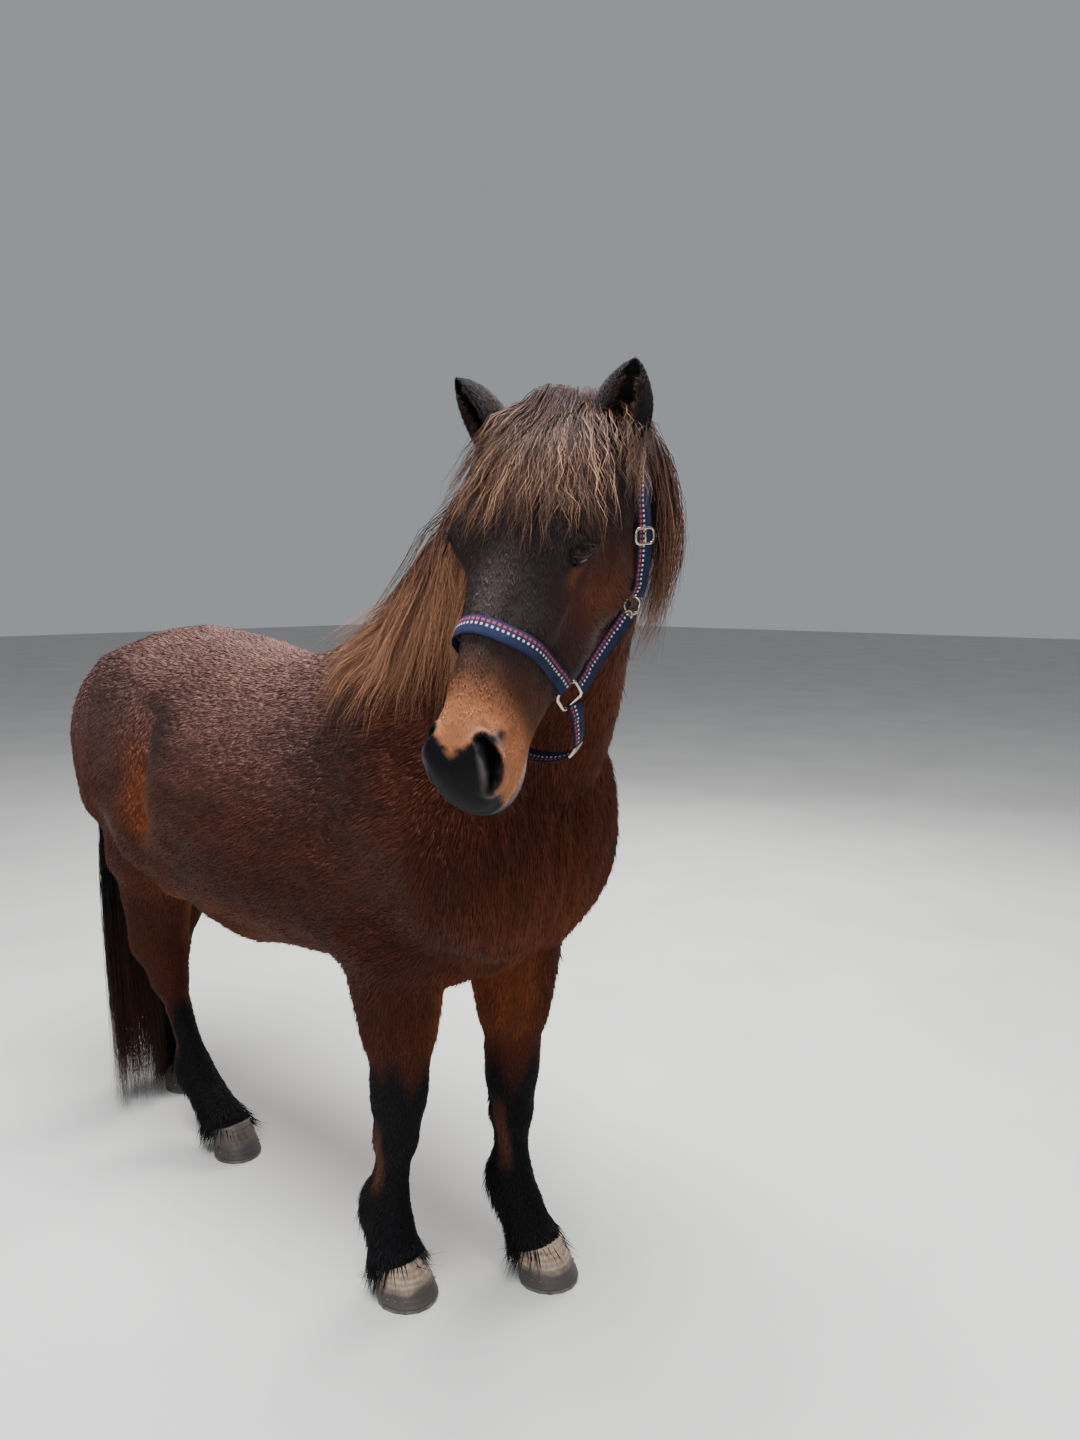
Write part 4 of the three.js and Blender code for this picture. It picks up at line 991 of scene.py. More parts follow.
# Colours of the coat
BROWN = np.array(srgb(80, 43, 31))
DARK_BROWN = np.array(srgb(44, 31, 30))
WARM = np.array(srgb(128, 68, 34))
FACE = np.array(srgb(50, 41, 43))
FACE_PALE = np.array(srgb(84, 72, 72))
# The lower body's own redder brown, darkened there as painted shade.
RED_AND_PAINTED_SHADE = np.array(srgb(62, 25, 12))
TAN = np.array(srgb(182, 120, 84))
BLACK = np.array(srgb(11, 10, 14))
LIP = np.array(srgb(46, 42, 46))
PALE_LIP = np.array(srgb(146, 134, 132))
STRIPE = np.array(srgb(98, 62, 42))
# Painted sheen: a greyer brown where light falls on the top of the trunk.
PAINTED_SHEEN_TOP = np.array(srgb(120, 94, 90))
# Painted sheen: a paler brown where light falls on the loins.
PAINTED_SHEEN_LOINS = np.array(srgb(132, 106, 98))
# Painted shade: a darker red brown under the belly.
PAINTED_BELLY_SHADE = np.array(srgb(56, 23, 13))


def blend(base, colour, share):
    return base + (np.asarray(colour) - base) * np.asarray(share)[:, None]


def zones(points):
    """Body frame, head frame and how much each point belongs to the head, from 0 to 1."""
    p = body_frame(points)
    h = head_frame(points)
    inside = ramp(30, -25, h[:, 1]) * ramp(-262, -215, h[:, 2]) * (np.abs(h[:, 0]) < 190)
    behind_jaw = ramp(-150, -220, h[:, 2] + 0.9 * (h[:, 1] + 40)) * (h[:, 1] > -150)
    return p, h, inside * (1 - behind_jaw)


def cloud(points, cell, seed):
    """Smooth random values from 0 to 1 whose patches have the given size on each axis."""
    grid = np.random.default_rng(seed).random((32, 32, 32))
    q = points / np.asarray(cell, float)
    low = np.floor(q).astype(int)
    f = q - low
    f = f * f * (3 - 2 * f)
    total = np.zeros(len(points))
    for corner in range(8):
        step = np.array([corner & 1, corner >> 1 & 1, corner >> 2 & 1])
        share = np.prod(np.where(step, f, 1 - f), axis=1)
        i, j, k = ((low + step) % 32).T
        total += grid[i, j, k] * share
    return total


def laid_over(colour, layers):
    """A colour with others laid over it in turn, each with its share at every point."""
    for tone, share in layers:
        colour = blend(colour, tone, share)
    return colour


def body_colour(p, head):
    """The colour of the trunk, neck and legs, with painted sheen on the top and painted shade underneath."""
    q = one_side(p)
    y, z = p[:, 1], p[:, 2]
    # Painted sheen on the top of the trunk, from behind the withers back.
    upper = ramp(930, 1180, z) * ramp(60, 330, y)
    # Painted shade under the belly.
    under = ramp(930, 800, z) * ramp(150, 300, y) * ramp(820, 700, y)
    # The lower body and the front of the chest: the coat's own redder brown, darker as painted shade.
    low = np.maximum(ramp(930, 760, z), ramp(60, -120, y) * ramp(1350, 1150, z))
    best, offset, gap = nearest_leg(p)
    leg = (z < 760) & (gap < 150)
    wander = 22 * np.sin(offset[:, 0] * 0.09 + best) + 16 * np.sin(offset[:, 1] * 0.11 + 2 * best)
    black_top = np.choose(best, [530, 490, 380, 330]) + wander
    black_full = np.choose(best, [440, 400, 300, 220]) + wander
    black = ramp(black_top, black_full, z) * leg
    inner = -np.sign(p[:, 0]) * offset[:, 0]
    middle = np.choose(best, [10, -4, 24, 24])
    stripe = ramp(8, 20, np.abs(offset[:, 0])) * ramp(22, 8, np.abs(offset[:, 1] - middle))
    stripe *= ramp(200, 260, z) * ramp(400, 330, z) * leg
    warm_arm = ramp(4, 40, inner) * ramp(470, 560, z) * leg
    return laid_over(np.tile(BROWN, (len(p), 1)), [
        (DARK_BROWN, 0.5 * (ramp(1130, 1330, z) * (y > 40))),
        # painted sheen on the top of the trunk
        (PAINTED_SHEEN_TOP, 0.5 * upper * (1 - head)),
        # painted sheen on the loins
        (PAINTED_SHEEN_LOINS, 0.6 * spot(p, [0, 620, 1390], [170, 380, 90])),
        # painted shade under the belly
        (PAINTED_BELLY_SHADE, 0.6 * under),
        (DARK_BROWN, 0.65 * spot(q, [230, 190, 1150], [90, 150, 190])),
        (DARK_BROWN, 0.5 * spot(q, [240, 1040, 1150], [100, 170, 150])),
        (DARK_BROWN, 0.55 * ramp(1230, 1480, z) * (y < 60)),
        (DARK_BROWN, 0.8 * spot(q, [230, 790, 1110], [120, 70, 90])),
        (WARM, 0.8 * spot(q, [230, 885, 940], [110, 52, 130])),
        # own redder brown, with painted shade, on the lower body and chest front
        (RED_AND_PAINTED_SHADE, 0.85 * low),
        (WARM, 0.3 * spot(p, [0, -215, 830], [190, 110, 110])),
        (WARM, 0.25 * spot(q, [60, 0, 640], [80, 190, 120])),
        (WARM, 0.4 * spot(q, [120, 700, 700], [200, 300, 70])),
        (WARM, 0.15 * spot(p, [20, -330, 1150], [150, 110, 170])),
        (WARM, 0.3 * warm_arm),
        (BLACK, black),
        (STRIPE, 0.62 * stripe),
    ])


def markings(points):
    """The coat's colour and how bare the skin is at each point."""
    p, h, head = zones(points)
    g = one_side(h)
    forward, up = -h[:, 1], h[:, 2]
    tan_edge = forward + 0.22 * up
    nostril = line_gap(g, NOSTRIL)
    # Black skin round each nostril, and painted shade down inside its cavity.
    cavity = line_gap(g, np.array(NOSTRIL, float) + np.array([-0.5, 0.75, -0.3]) * 30)
    nose_black_and_nostril_shade = np.maximum(ramp(18, 10, nostril), ramp(15, 11, cavity))
    edge = np.interp(-up, [20, 75], [58, 47])
    uneven = 10 * (cloud(g, [7, 7, 7], 21) - 0.5) + 10 * (cloud(g, [24, 24, 24], 22) - 0.5)
    front = ramp(-10, 12, forward - 513 + 0.95 * g[:, 0] + uneven) * ramp(edge + 4, edge - 4, g[:, 0])
    dark_nose = np.maximum(nose_black_and_nostril_shade, front)
    mouth = line_gap(g, MOUTH)
    pale = np.exp(-(((mouth - 7) / 5) ** 2)) * ramp(-100, -84, up) * ramp(34, 52, g[:, 0])
    rim = np.exp(-(((nostril - 20) / 4) ** 2)) * ramp(40, 54, g[:, 0])
    eye = np.linalg.norm((g - EYE_PLACE) * [0.6, 1, 1.25], axis=1)
    face = laid_over(np.tile(FACE, (len(p), 1)), [
        (FACE_PALE, 0.6 * spot(h, [0, -300, 50], [44, 110, 60])),
        (WARM, 0.5 * spot(g, [96, -225, -70], [50, 70, 60])),
        (DARK_BROWN, 0.7 * ramp(-90, -190, up) * ramp(420, 330, forward)),
        (STRIPE, 0.6 * ramp(350, 400, forward)),
        (TAN, 0.95 * ramp(398, 468, tan_edge) * ramp(-118, -84, up)),
        (LIP, ramp(-80, -92, up) * ramp(425, 470, forward)),
        (BLACK, dark_nose),
        (PALE_LIP, 0.75 * pale),
        (PALE_LIP, 0.3 * rim),
        (BLACK, 0.85 * ramp(32, 20, eye)),
        (TAN * 0.55, 0.6 * spot(g, [96, -232, 4], [22, 20, 9])),
    ])
    colour = blend(body_colour(p, head), face, head)

    bare = head * np.clip(np.maximum.reduce([dark_nose, ramp(12, 5, mouth), 0.8 * pale]), 0, 1)
    bare = np.maximum(bare, head * ramp(24, 20, eye))
    return colour, np.clip(bare, 0, 1)


def flattened(lie, normals):
    return lie - normals * np.sum(lie * normals, axis=1)[:, None]


def lie_and_length(points, normals):
    """The direction in which the coat lies, and its length in millimetres."""
    p, h, head = zones(points)
    q = one_side(p)
    n = len(p)
    lie = np.tile([0.0, 1.0, -0.45], (n, 1))
    rump = ramp(960, 1200, p[:, 1])
    lie = blend(lie, [0, 0.35, -1], rump)
    neck = ramp(1010, 1250, p[:, 2] - 0.9 * (p[:, 1] + 60)) * (p[:, 1] < 260)
    down_neck = np.stack([0.25 * np.ones(n), 0.75 * np.ones(n), -np.ones(n)], 1)
    lie = lie + (down_neck - lie) * neck[:, None]
    chest = ramp(-20, -150, p[:, 1]) * ramp(1250, 1100, p[:, 2])
    lie = blend(lie, [0, 0.1, -1], chest)
    best, offset, gap = nearest_leg(p)
    leg = ramp(760, 620, p[:, 2])
    lie = blend(lie, [0, 0.12, -1], leg)
    belly = ramp(760, 680, p[:, 2]) * ramp(160, 260, p[:, 1]) * ramp(960, 800, p[:, 1])
    lie = blend(lie, [0, 1, 0], belly * (1 - leg * (gap < 110)))
    flank = spot(q, [250, 900, 1000], [120, 80, 200])
    lie = blend(lie, [0, -0.25, -1], 0.8 * flank)
    on_face = np.stack([0.25 * np.sign(h[:, 0]), -np.ones(n), -0.35 * ramp(0, 70, np.abs(h[:, 0]))], 1)
    cheek = ramp(-20, -90, h[:, 2])
    on_face = blend(on_face, [0, -0.15, -1], cheek * ramp(420, 330, -h[:, 1]))
    away = unit(offset)
    away = away * (0.2 + 0.5 * np.clip(-away[:, 1:2], 0, 1) + 0.1 * (best[:, None] >= 2))
    foot = ramp(125, 85, p[:, 2]) * (gap < 150)
    lie = lie + (np.stack([away[:, 0], away[:, 1], -np.ones(n)], 1) - lie) * foot[:, None]
    lie = lie + (on_face @ head_turn.T - lie) * head[:, None]

    length = 23 + 0 * gap
    length += 6 * chest + 5 * neck - 5 * rump
    length += 8 * ramp(730, 660, p[:, 2]) * (1 - leg)
    length = length + (13 - length) * ramp(640, 470, p[:, 2])
    behind = ramp(5, 40, offset[:, 1])
    length += 20 * behind * ramp(240, 190, p[:, 2]) * ramp(70, 110, p[:, 2]) * (gap < 120)
    length += 9 * behind * ramp(420, 330, p[:, 2]) * ramp(200, 260, p[:, 2]) * (gap < 120)
    length += 50 * ramp(108, 84, p[:, 2])
    face = 9 + 7 * ramp(300, 120, -h[:, 1]) + 13 * cheek * ramp(430, 330, -h[:, 1])
    face += 6 * ramp(-70, -150, h[:, 2]) * ramp(430, 330, -h[:, 1])
    face = face - 3 * ramp(380, 460, -h[:, 1])
    length = length + (face - length) * head
    return unit(flattened(lie, normals)), length, head, leg


# Tufts of the short coat
class Furry:
    """A mesh's triangles with the values that the coat reads at its roots."""

    def __init__(self, mesh, lie=None, colour=None, length=None):
        self.points = coordinates(mesh)
        self.normals = normals_of(mesh)
        self.faces = triangles_of(mesh)
        a, b, c = (self.points[self.faces[:, k]] for k in range(3))
        self.areas = np.linalg.norm(np.cross(b - a, c - a), axis=1) / 2
        self.colour = colour
        self.length = length
        if lie is not None:
            self.lay(np.tile(lie, (len(self.points), 1)))

    def lay(self, lie):
        self.lie = unit(flattened(lie, self.normals))

    def roots(self, weight, count):
        """Roots spread over the faces by area and weight, with the values there."""
        share = self.areas * weight[self.faces].mean(axis=1)
        steps = np.cumsum(share) / share.sum()
        chosen = np.searchsorted(steps, (np.arange(count) + chance.random(count)) / count)
        chosen = np.minimum(chosen, len(self.faces) - 1)
        f, g = chance.random(count), chance.random(count)
        over = f + g > 1
        f, g = np.where(over, 1 - f, f), np.where(over, 1 - g, g)
        shares = np.stack([1 - f - g, f, g], 1)
        corners = self.faces[chosen]

        def at(values):
            picked = values[corners]
            return (picked * (shares if values.ndim == 1 else shares[:, :, None])).sum(axis=1)

        return at(self.points), unit(at(self.normals)), unit(at(self.lie)), at(self.colour), at(self.length)


class Skin(Furry):
    """The whole skin, whose values come from its markings and the lie of its coat."""

    def __init__(self, mesh):
        super().__init__(mesh)
        self.colour, self.bare = markings(self.points)
        lie, length, self.head, self.leg = lie_and_length(self.points, self.normals)
        web = Web(mesh)
        self.lay(web.even(lie, 14, 0.7))
        self.length = web.even(length[:, None], 8, 0.6)[:, 0]
        self.tree = BVHTree.FromPolygons(self.points.tolist(), self.faces.tolist())


def chart(points):
    """Where a point of the skin lies on its unwrap, where trunk, head and each leg have a sheet."""
    p, h, head = zones(points)
    best, offset, gap = nearest_leg(p)
    round_body = np.arctan2(p[:, 0], p[:, 2] - 1000) / TAU + 0.5
    body = np.stack([0.02 + 0.94 * round_body, 0.34 + 0.64 * np.clip((p[:, 1] + 560) / 1960, 0, 1)], 1)
    round_leg = np.arctan2(offset[:, 0], offset[:, 1]) / TAU + 0.5
    legs = np.stack([best * 0.14 + 0.01 + 0.12 * round_leg, 0.02 + 0.29 * np.clip(p[:, 2] / 780, 0, 1)], 1)
    round_head = np.arctan2(h[:, 0], h[:, 2] + 60) / TAU + 0.5
    skull = np.stack([0.58 + 0.4 * round_head, 0.02 + 0.29 * np.clip((h[:, 1] + 590) / 640, 0, 1)], 1)
    where = np.where((p[:, 2] < 740)[:, None] & (gap < 150)[:, None], legs, body)
    return np.where((head > 0.5)[:, None], skull, where)


def make_tufts(name, material, roots, normals, lies, colours, lengths, width, lift, slot="coat"):
    """One closed sliver of four faces for each root, lying along the coat and thinning to its tip."""
    count = len(roots)
    side = unit(np.cross(normals, lies))
    stray = chance.normal(0, 1, (count, 3))
    p = body_frame(roots)
    upright = ramp(0.45, 0.8, np.abs(lies[:, 2]))
    flat_locks = cloud(p, [19, 58, 16], 3) * 0.6 + cloud(p, [10, 30, 9], 4) * 0.4
    tall_locks = cloud(p, [15, 15, 52], 5) * 0.6 + cloud(p, [8, 8, 28], 6) * 0.4
    locks = np.clip((flat_locks * (1 - upright) + tall_locks * upright - 0.5) * 2.4 + 0.5, 0, 1)
    sway = cloud(p, [34, 34, 34], 7) + 0.5 * cloud(p, [16, 16, 16], 8) - 0.75
    lies = unit(lies + side * (stray[:, :1] * 0.12 + sway[:, None] * 0.45))
    side = unit(np.cross(normals, lies))
    lengths = lengths * (1 + 0.22 * stray[:, 1]).clip(0.4, 1.7) * MM
    rise = (lift * (0.6 + 0.8 * locks + 0.4 * stray[:, 2])).clip(0.04, 0.9)
    ahead = unit(lies + normals * rise[:, None])
    tips = roots + ahead * lengths[:, None] - normals * (0.0010)
    tips[:, 2] = np.maximum(tips[:, 2], 0.004)
    low = roots - normals * 0.0014
    half = (width * (0.75 + 0.5 * chance.random(count)) * MM / 2)[:, None]
    top = low + normals * half * 1.1 + ahead * lengths[:, None] * 0.25
    points = np.stack([low + side * half, low - side * half, top, tips], 1).reshape(-1, 3)
    first = np.arange(count) * 4
    pattern = np.array([[0, 2, 3], [1, 3, 2], [0, 3, 1], [0, 1, 2]])
    faces = (first[:, None, None] + pattern).reshape(-1, 3)
    mesh = triangle_mesh(name, points, faces)
    shade = ((0.7 + 0.5 * locks) * (0.82 + 0.36 * chance.random(count)))[:, None]
    paint(mesh, "marking", np.repeat(colours * shade, 4, axis=0))
    paint(mesh, "along", np.tile([0.0, 0.0, 0.45, 1.0], count))
    home = chart(roots)
    patch = np.array([[-0.0015, -0.001], [0.0015, -0.001], [0, 0.0], [0, 0.0015]])
    set_map(mesh, (home[:, None, :] + patch).reshape(-1, 2))
    obj = link(name, mesh)
    return finish_piece(obj, material)


# Kinds of coat: number of tufts, width of a tuft in millimetres, and how far it stands up
COATS = {
    "trunk": (TRUNK_TUFTS, 3.6, 0.17),
    "leg": (LEG_TUFTS, 3.0, 0.2),
    "head": (HEAD_TUFTS, 2.2, 0.17),
}


def make_coat(skin_values, material):
    s = skin_values
    trunk = (1 - s.head) * (1 - ramp(0.35, 0.65, s.leg)) * (1 - s.bare)
    legs = (1 - s.head) * ramp(0.35, 0.65, s.leg) * (s.points[:, 2] > 0.045)
    face = s.head * (1 - s.bare) * (1 + 0.6 * ramp(-300, -480, head_frame(s.points)[:, 1]))
    share = 1.0
    for name, weight in (("trunk", trunk), ("leg", legs), ("head", face)):
        most, width, lift = COATS[name]
        count = int(most * share)
        batches = max(1, math.ceil(count * 4 / MOST_FACES))
        for k in range(batches):
            values_here = s.roots(weight, count // batches)
            name_here = f"coat_{name}_{k + 1}" if batches > 1 else f"coat_{name}"
            make_tufts(name_here, material, *values_here, width, lift)


# Camera, light and floor
# Lamps: name, place, what it points at and size in metres, power in watts, and colour
LAMPS = [
    ("sky", (-0.6, -1.0, 5.2), (0, 0, 0.8), 3.4, 860, (0.97, 0.98, 1)),
    ("front", (-4.6, -4.2, 2.6), (0, -0.3, 1.0), 3.0, 95, (1, 0.97, 0.93)),
    ("rim", (3.6, 1.2, 3.4), (0, 0, 1.0), 2.4, 200, (1, 0.98, 0.95)),
]


def make_camera():
    camera = bpy.data.objects.new("camera", bpy.data.cameras.new("camera"))
    bpy.context.scene.collection.objects.link(camera)
    camera.data.sensor_fit = "VERTICAL"
    camera.data.sensor_height = SENSOR_HEIGHT
    camera.data.lens = LENS
    camera.location = place(CAMERA_PLACE)
    camera.rotation_euler = (math.radians(90 - HORIZON_DROP), 0, math.radians(-CAMERA_HEADING))
    camera.data.clip_start = 0.05
    bpy.context.scene.camera = camera


def make_light(name, location, target, size, power, colour):
    lamp = bpy.data.lights.new(name, "AREA")
    lamp.shape = "DISK"
    lamp.size = size
    lamp.energy = power
    lamp.color = colour
    obj = bpy.data.objects.new(name, lamp)
    bpy.context.scene.collection.objects.link(obj)
    obj.location = location
    obj.rotation_euler = (Vector(target) - Vector(location)).to_track_quat("-Z", "Y").to_euler()


def make_studio():
    world = bpy.data.worlds.new("studio")
    world.use_nodes = True
    background = world.node_tree.nodes["Background"]
    background.inputs["Color"].default_value = (0.86, 0.9, 0.96, 1)
    background.inputs["Strength"].default_value = 0.36
    bpy.context.scene.world = world
    for lamp in LAMPS:
        make_light(*lamp)
    bm = bmesh.new()
    bmesh.ops.create_grid(bm, x_segments=1, y_segments=1, size=30)
    floor = link("studio_floor", mesh_of(bm, "studio_floor"))
    s = Shader("pale floor")
    tone = s.mix(s.stretch(0.3, 0.7, s.noise(1.5, 4)), (0.5, 0.49, 0.475), (0.56, 0.55, 0.53))
    s.shade(Base_Color=tone, Roughness=0.85, Normal=s.bump(s.noise(60, 3), 0.001, 0.3))
    floor.data.materials.append(s.material)


# Long hair
# Kinds of hair, in millimetres: spread of a lock at its root and tip, a hair's own spread, size and
# number of its waves, thickness, shortest share of the length, colour at the root and range of
# bleaching. Some give the rings of a hair, or a power that makes bleached hairs rare.
MANE_HAIR = {
    "root": 10, "tip": 19, "own": 4.5, "wave": 7, "waves": 3.4, "thick": 0.95, "short": 0.62,
    "colour": srgb(72, 48, 43),
}
FORELOCK_HAIR = {
    "root": 7, "tip": 15, "own": 2.6, "wave": 6.5, "waves": 3.8, "thick": 0.72, "short": 0.5,
    "colour": srgb(58, 38, 34), "bleach": (0.0, 1.3), "rare": 4,
}
TAIL_HAIR = {
    "root": 5, "tip": 14, "own": 4, "wave": 7, "waves": 3, "thick": 0.95, "short": 0.78,
    "colour": srgb(8, 7, 8), "bleach": (0.0, 0.7), "rings": 10,
}
EAR_HAIR = {
    "root": 1.5, "tip": 3.5, "own": 1.4, "wave": 1.0, "waves": 1.2, "thick": 0.34, "short": 0.55,
    "colour": srgb(44, 33, 31), "bleach": (0.0, 0.35), "rings": 5,
}
LASH_HAIR = {
    "root": 0.6, "tip": 1.8, "own": 0.8, "wave": 0.2, "waves": 1, "thick": 0.26, "short": 0.6,
    "colour": srgb(16, 13, 13), "bleach": (0, 0), "rings": 5,
}
WHISKER_HAIR = {
    "root": 0.3, "tip": 0.5, "own": 0.2, "wave": 0.4, "waves": 1, "thick": 0.22, "short": 0.7,
    "colour": srgb(70, 58, 50), "bleach": (0, 0.5), "rings": 5,
}


def hug(tree, points, clearance):
    """Moves points that are nearer to the skin than the clearance out of it; gives the normals too."""
    normals = np.zeros_like(points)
    moved = points.copy()
    for i, point in enumerate(points):
        near, normal, _, _ = tree.find_nearest(Vector(point))
        normal = np.array(normal)
        gap = (point - np.array(near)).dot(normal)
        least = clearance[i] if np.ndim(clearance) else clearance
        if gap < least:
            moved[i] = point + normal * (least - gap)
        normals[i] = normal
    return moved, normals


def fall(tree, roots, headings, pulls, lengths, steps, clearance):
    """Guide lines that leave their roots and fall over the skin; gives points and normals by step."""
    stiff = 0.3
    stride = (lengths / steps * MM)[:, None]
    points, normals = hug(tree, roots, 0.001)
    lines, sides = [points], [normals]
    heading = unit(headings)
    for k in range(steps):
        heading = unit(heading * (1 - stiff) + unit(pulls) * stiff)
        ahead = points + heading * stride
        ahead, normals = hug(tree, ahead, clearance * min(1, 0.16 + k / 6) * MM)
        heading = unit(ahead - points)
        points = ahead
        lines.append(points)
        sides.append(normals)
    return np.stack(lines, 1), np.stack(sides, 1)


def strands(name, material, lines, normals, each, look):
    """Many tapered hairs that follow each guide line in small clumps and thin to their tips."""
    guides, steps = lines.shape[:2]
    rings = look.get("rings", 9)
    clump = np.repeat(np.arange(guides), each)
    count = len(clump)
    length = look["short"] + (1 - look["short"]) * chance.random(count) ** 0.7
    f = np.linspace(0, 1, rings)
    at = length[:, None] * f[None] * (steps - 1)
    low = np.minimum(at.astype(int), steps - 2)
    share = (at - low)[:, :, None]
    line = lines[clump[:, None], low] * (1 - share) + lines[clump[:, None], low + 1] * share
    out = unit(normals[clump[:, None], low])
    ahead = unit(np.gradient(line, axis=1))
    side = unit(np.cross(ahead, out))

    def throw(size, groups):
        values = chance.normal(0, size, (math.ceil(count / groups), 2))
        return np.repeat(values, groups, axis=0)[:count]

    def by_group():
        return np.repeat(chance.random(math.ceil(count / HAIRS_TOGETHER)), HAIRS_TOGETHER)[:count]

    shared, own = throw(1, HAIRS_TOGETHER), throw(1, 1)
    spread = (look["root"] + (look["tip"] - look["root"]) * f[None] ** 1.2)[:, :, None]
    loose = (look["own"] * (0.6 + 0.9 * f[None] ** 3))[:, :, None]
    across = shared[:, None, :1] * spread + own[:, None, :1] * loose
    rise = np.abs(shared[:, None, 1:]) * spread * 0.45 + np.abs(own[:, None, 1:]) * loose
    rise = rise * np.minimum(1, 0.15 + 3 * f)[None, :, None]
    turns = look["waves"] * (0.8 + 0.4 * chance.random((count, 1)))
    phase = by_group()[:, None] * TAU
    phase = phase + chance.random((count, 1)) * 0.9
    wave = look["wave"] * f[None] ** 0.8
    across = across + (wave * np.sin(TAU * turns * f[None] + phase))[:, :, None]
    rise = rise + (0.5 * wave * (1 + np.sin(TAU * turns * f[None] + phase * 1.7)))[:, :, None]
    centre = line + (side * across + out * rise) * MM
    centre[:, :, 2] = np.maximum(centre[:, :, 2], 0.003)
    ahead = unit(np.gradient(centre, axis=1))
    side = unit(np.cross(ahead, out))
    up = np.cross(side, ahead)
    thick = look["thick"] * (0.7 + 0.6 * chance.random((count, 1)))
    taper = thick * np.maximum(1 - f[None] ** 2.2, 0.12) * np.minimum(1, 0.5 + 2 * f[None])
    radius = taper[:, :, None] * MM
    corners = []
    for k in range(3):
        angle = TAU * k / 3 + 0.3
        corners.append(centre + (side * math.cos(angle) + up * math.sin(angle) * 0.7) * radius)
    points = np.stack(corners, 2).reshape(-1, 3)
    faces = []
    for i in range(rings - 1):
        for k in range(3):
            a, b = i * 3 + k, i * 3 + (k + 1) % 3
            faces += [[a, a + 3, b], [b, a + 3, b + 3]]
    faces += [[0, 1, 2], [rings * 3 - 1, rings * 3 - 2, rings * 3 - 3]]
    faces = (np.arange(count)[:, None, None] * rings * 3 + np.array(faces)).reshape(-1, 3)
    mesh = triangle_mesh(name, points, faces)
    tone = by_group()
    wide = chance.random(guides)[clump]
    shade = (0.3 + 0.75 * tone + 0.65 * wide) * (0.8 + 0.4 * chance.random(count))
    colours = np.asarray(look["colour"])[None] * shade[:, None]
    lot = 0.6 * chance.random(count) + 0.4 * by_group()
    bleach = look["bleach"][0] + (look["bleach"][1] - look["bleach"][0]) * lot ** look.get("rare", 2)
    size = rings * 3
    paint(mesh, "marking", np.repeat(colours, size, axis=0))
    paint(mesh, "bleach", np.repeat(bleach, size))
    paint(mesh, "along", np.tile(np.repeat(f, 3), count))
    home = chart(centre[:, 0])
    patch = np.stack([np.tile([-0.001, 0.0, 0.001], rings), np.repeat((f - 0.5) * 0.003, 3)], 1)
    set_map(mesh, (home[:, None] + patch[None]).reshape(-1, 2))
    return finish_piece(link(name, mesh), material)


def jitter(count, size):
    return chance.normal(0, size, (count, 3))


# Sides of the mane: name, side, number of locks, and first and last place along the neck
MANE_SIDES = [("right", -1, 215, 0.5, 8.5), ("left", 1, 112, 4.4, 8.7)]


def make_mane(tree, material):
    share = 1
    for word, side, count, first, last in MANE_SIDES:
        t = np.linspace(first, last, count) + chance.normal(0, 0.04, count)
        angle = math.pi / 2 - side * chance.uniform(-0.10, 0.24, count)
        roots, headings, pulls, lengths = [], [], [], []
        for place_here, turn in zip(t, angle):
            _, across, rise, _, _, _, _ = neck_frame(place_here)
            roots.append(neck_point(place_here, turn))
            up = np.interp(place_here, [0.5, 2, 5.5, 7, 8.5], [0.5, 0.8, 1.1, 0.2, -0.3])
            headings.append(across * side * 0.9 + rise * up)
            pulls.append([-0.1 * side, 0.16 if side < 0 else 0.3 + 0.12 * max(0, place_here - 6), -1])
            lengths.append(np.interp(place_here, [0.7, 2, 4, 7, 8.4], [300, 470, 560, 540, 450]))
        roots = place(roots)
        headings = np.array(headings) + jitter(count, 0.12)
        pulls = np.array(pulls) + jitter(count, 0.09)
        lengths = np.array(lengths) * chance.uniform(0.85, 1.08, count) * (1 if side < 0 else 0.84)
        lengths = lengths * (1 if side < 0 else np.interp(t, [8.0, 8.2], [1, 0.46]))
        full = np.interp(t, [0.5, 2.2, 4, 6, 7.4, 8.5], [20, 38, 92, 88, 46, 20])
        full = full * (1 if side < 0 else 0.5)
        clearance = 8 + full * chance.random(count)
        lines, normals = fall(tree, roots, headings, pulls, lengths, 20, clearance)
        rise = lines[:, :, 2].max(1) - lines[:, 0, 2]
        keep = rise < np.where(t < 7, 0.05, 0.012)
        lines, normals = lines[keep], normals[keep]
        look = {**MANE_HAIR, "bleach": (0.0, 1.3 if side < 0 else 0.8)}
        strands(f"mane_{word}", material, lines, normals, int(MANE_HAIRS * share) + 1, look)


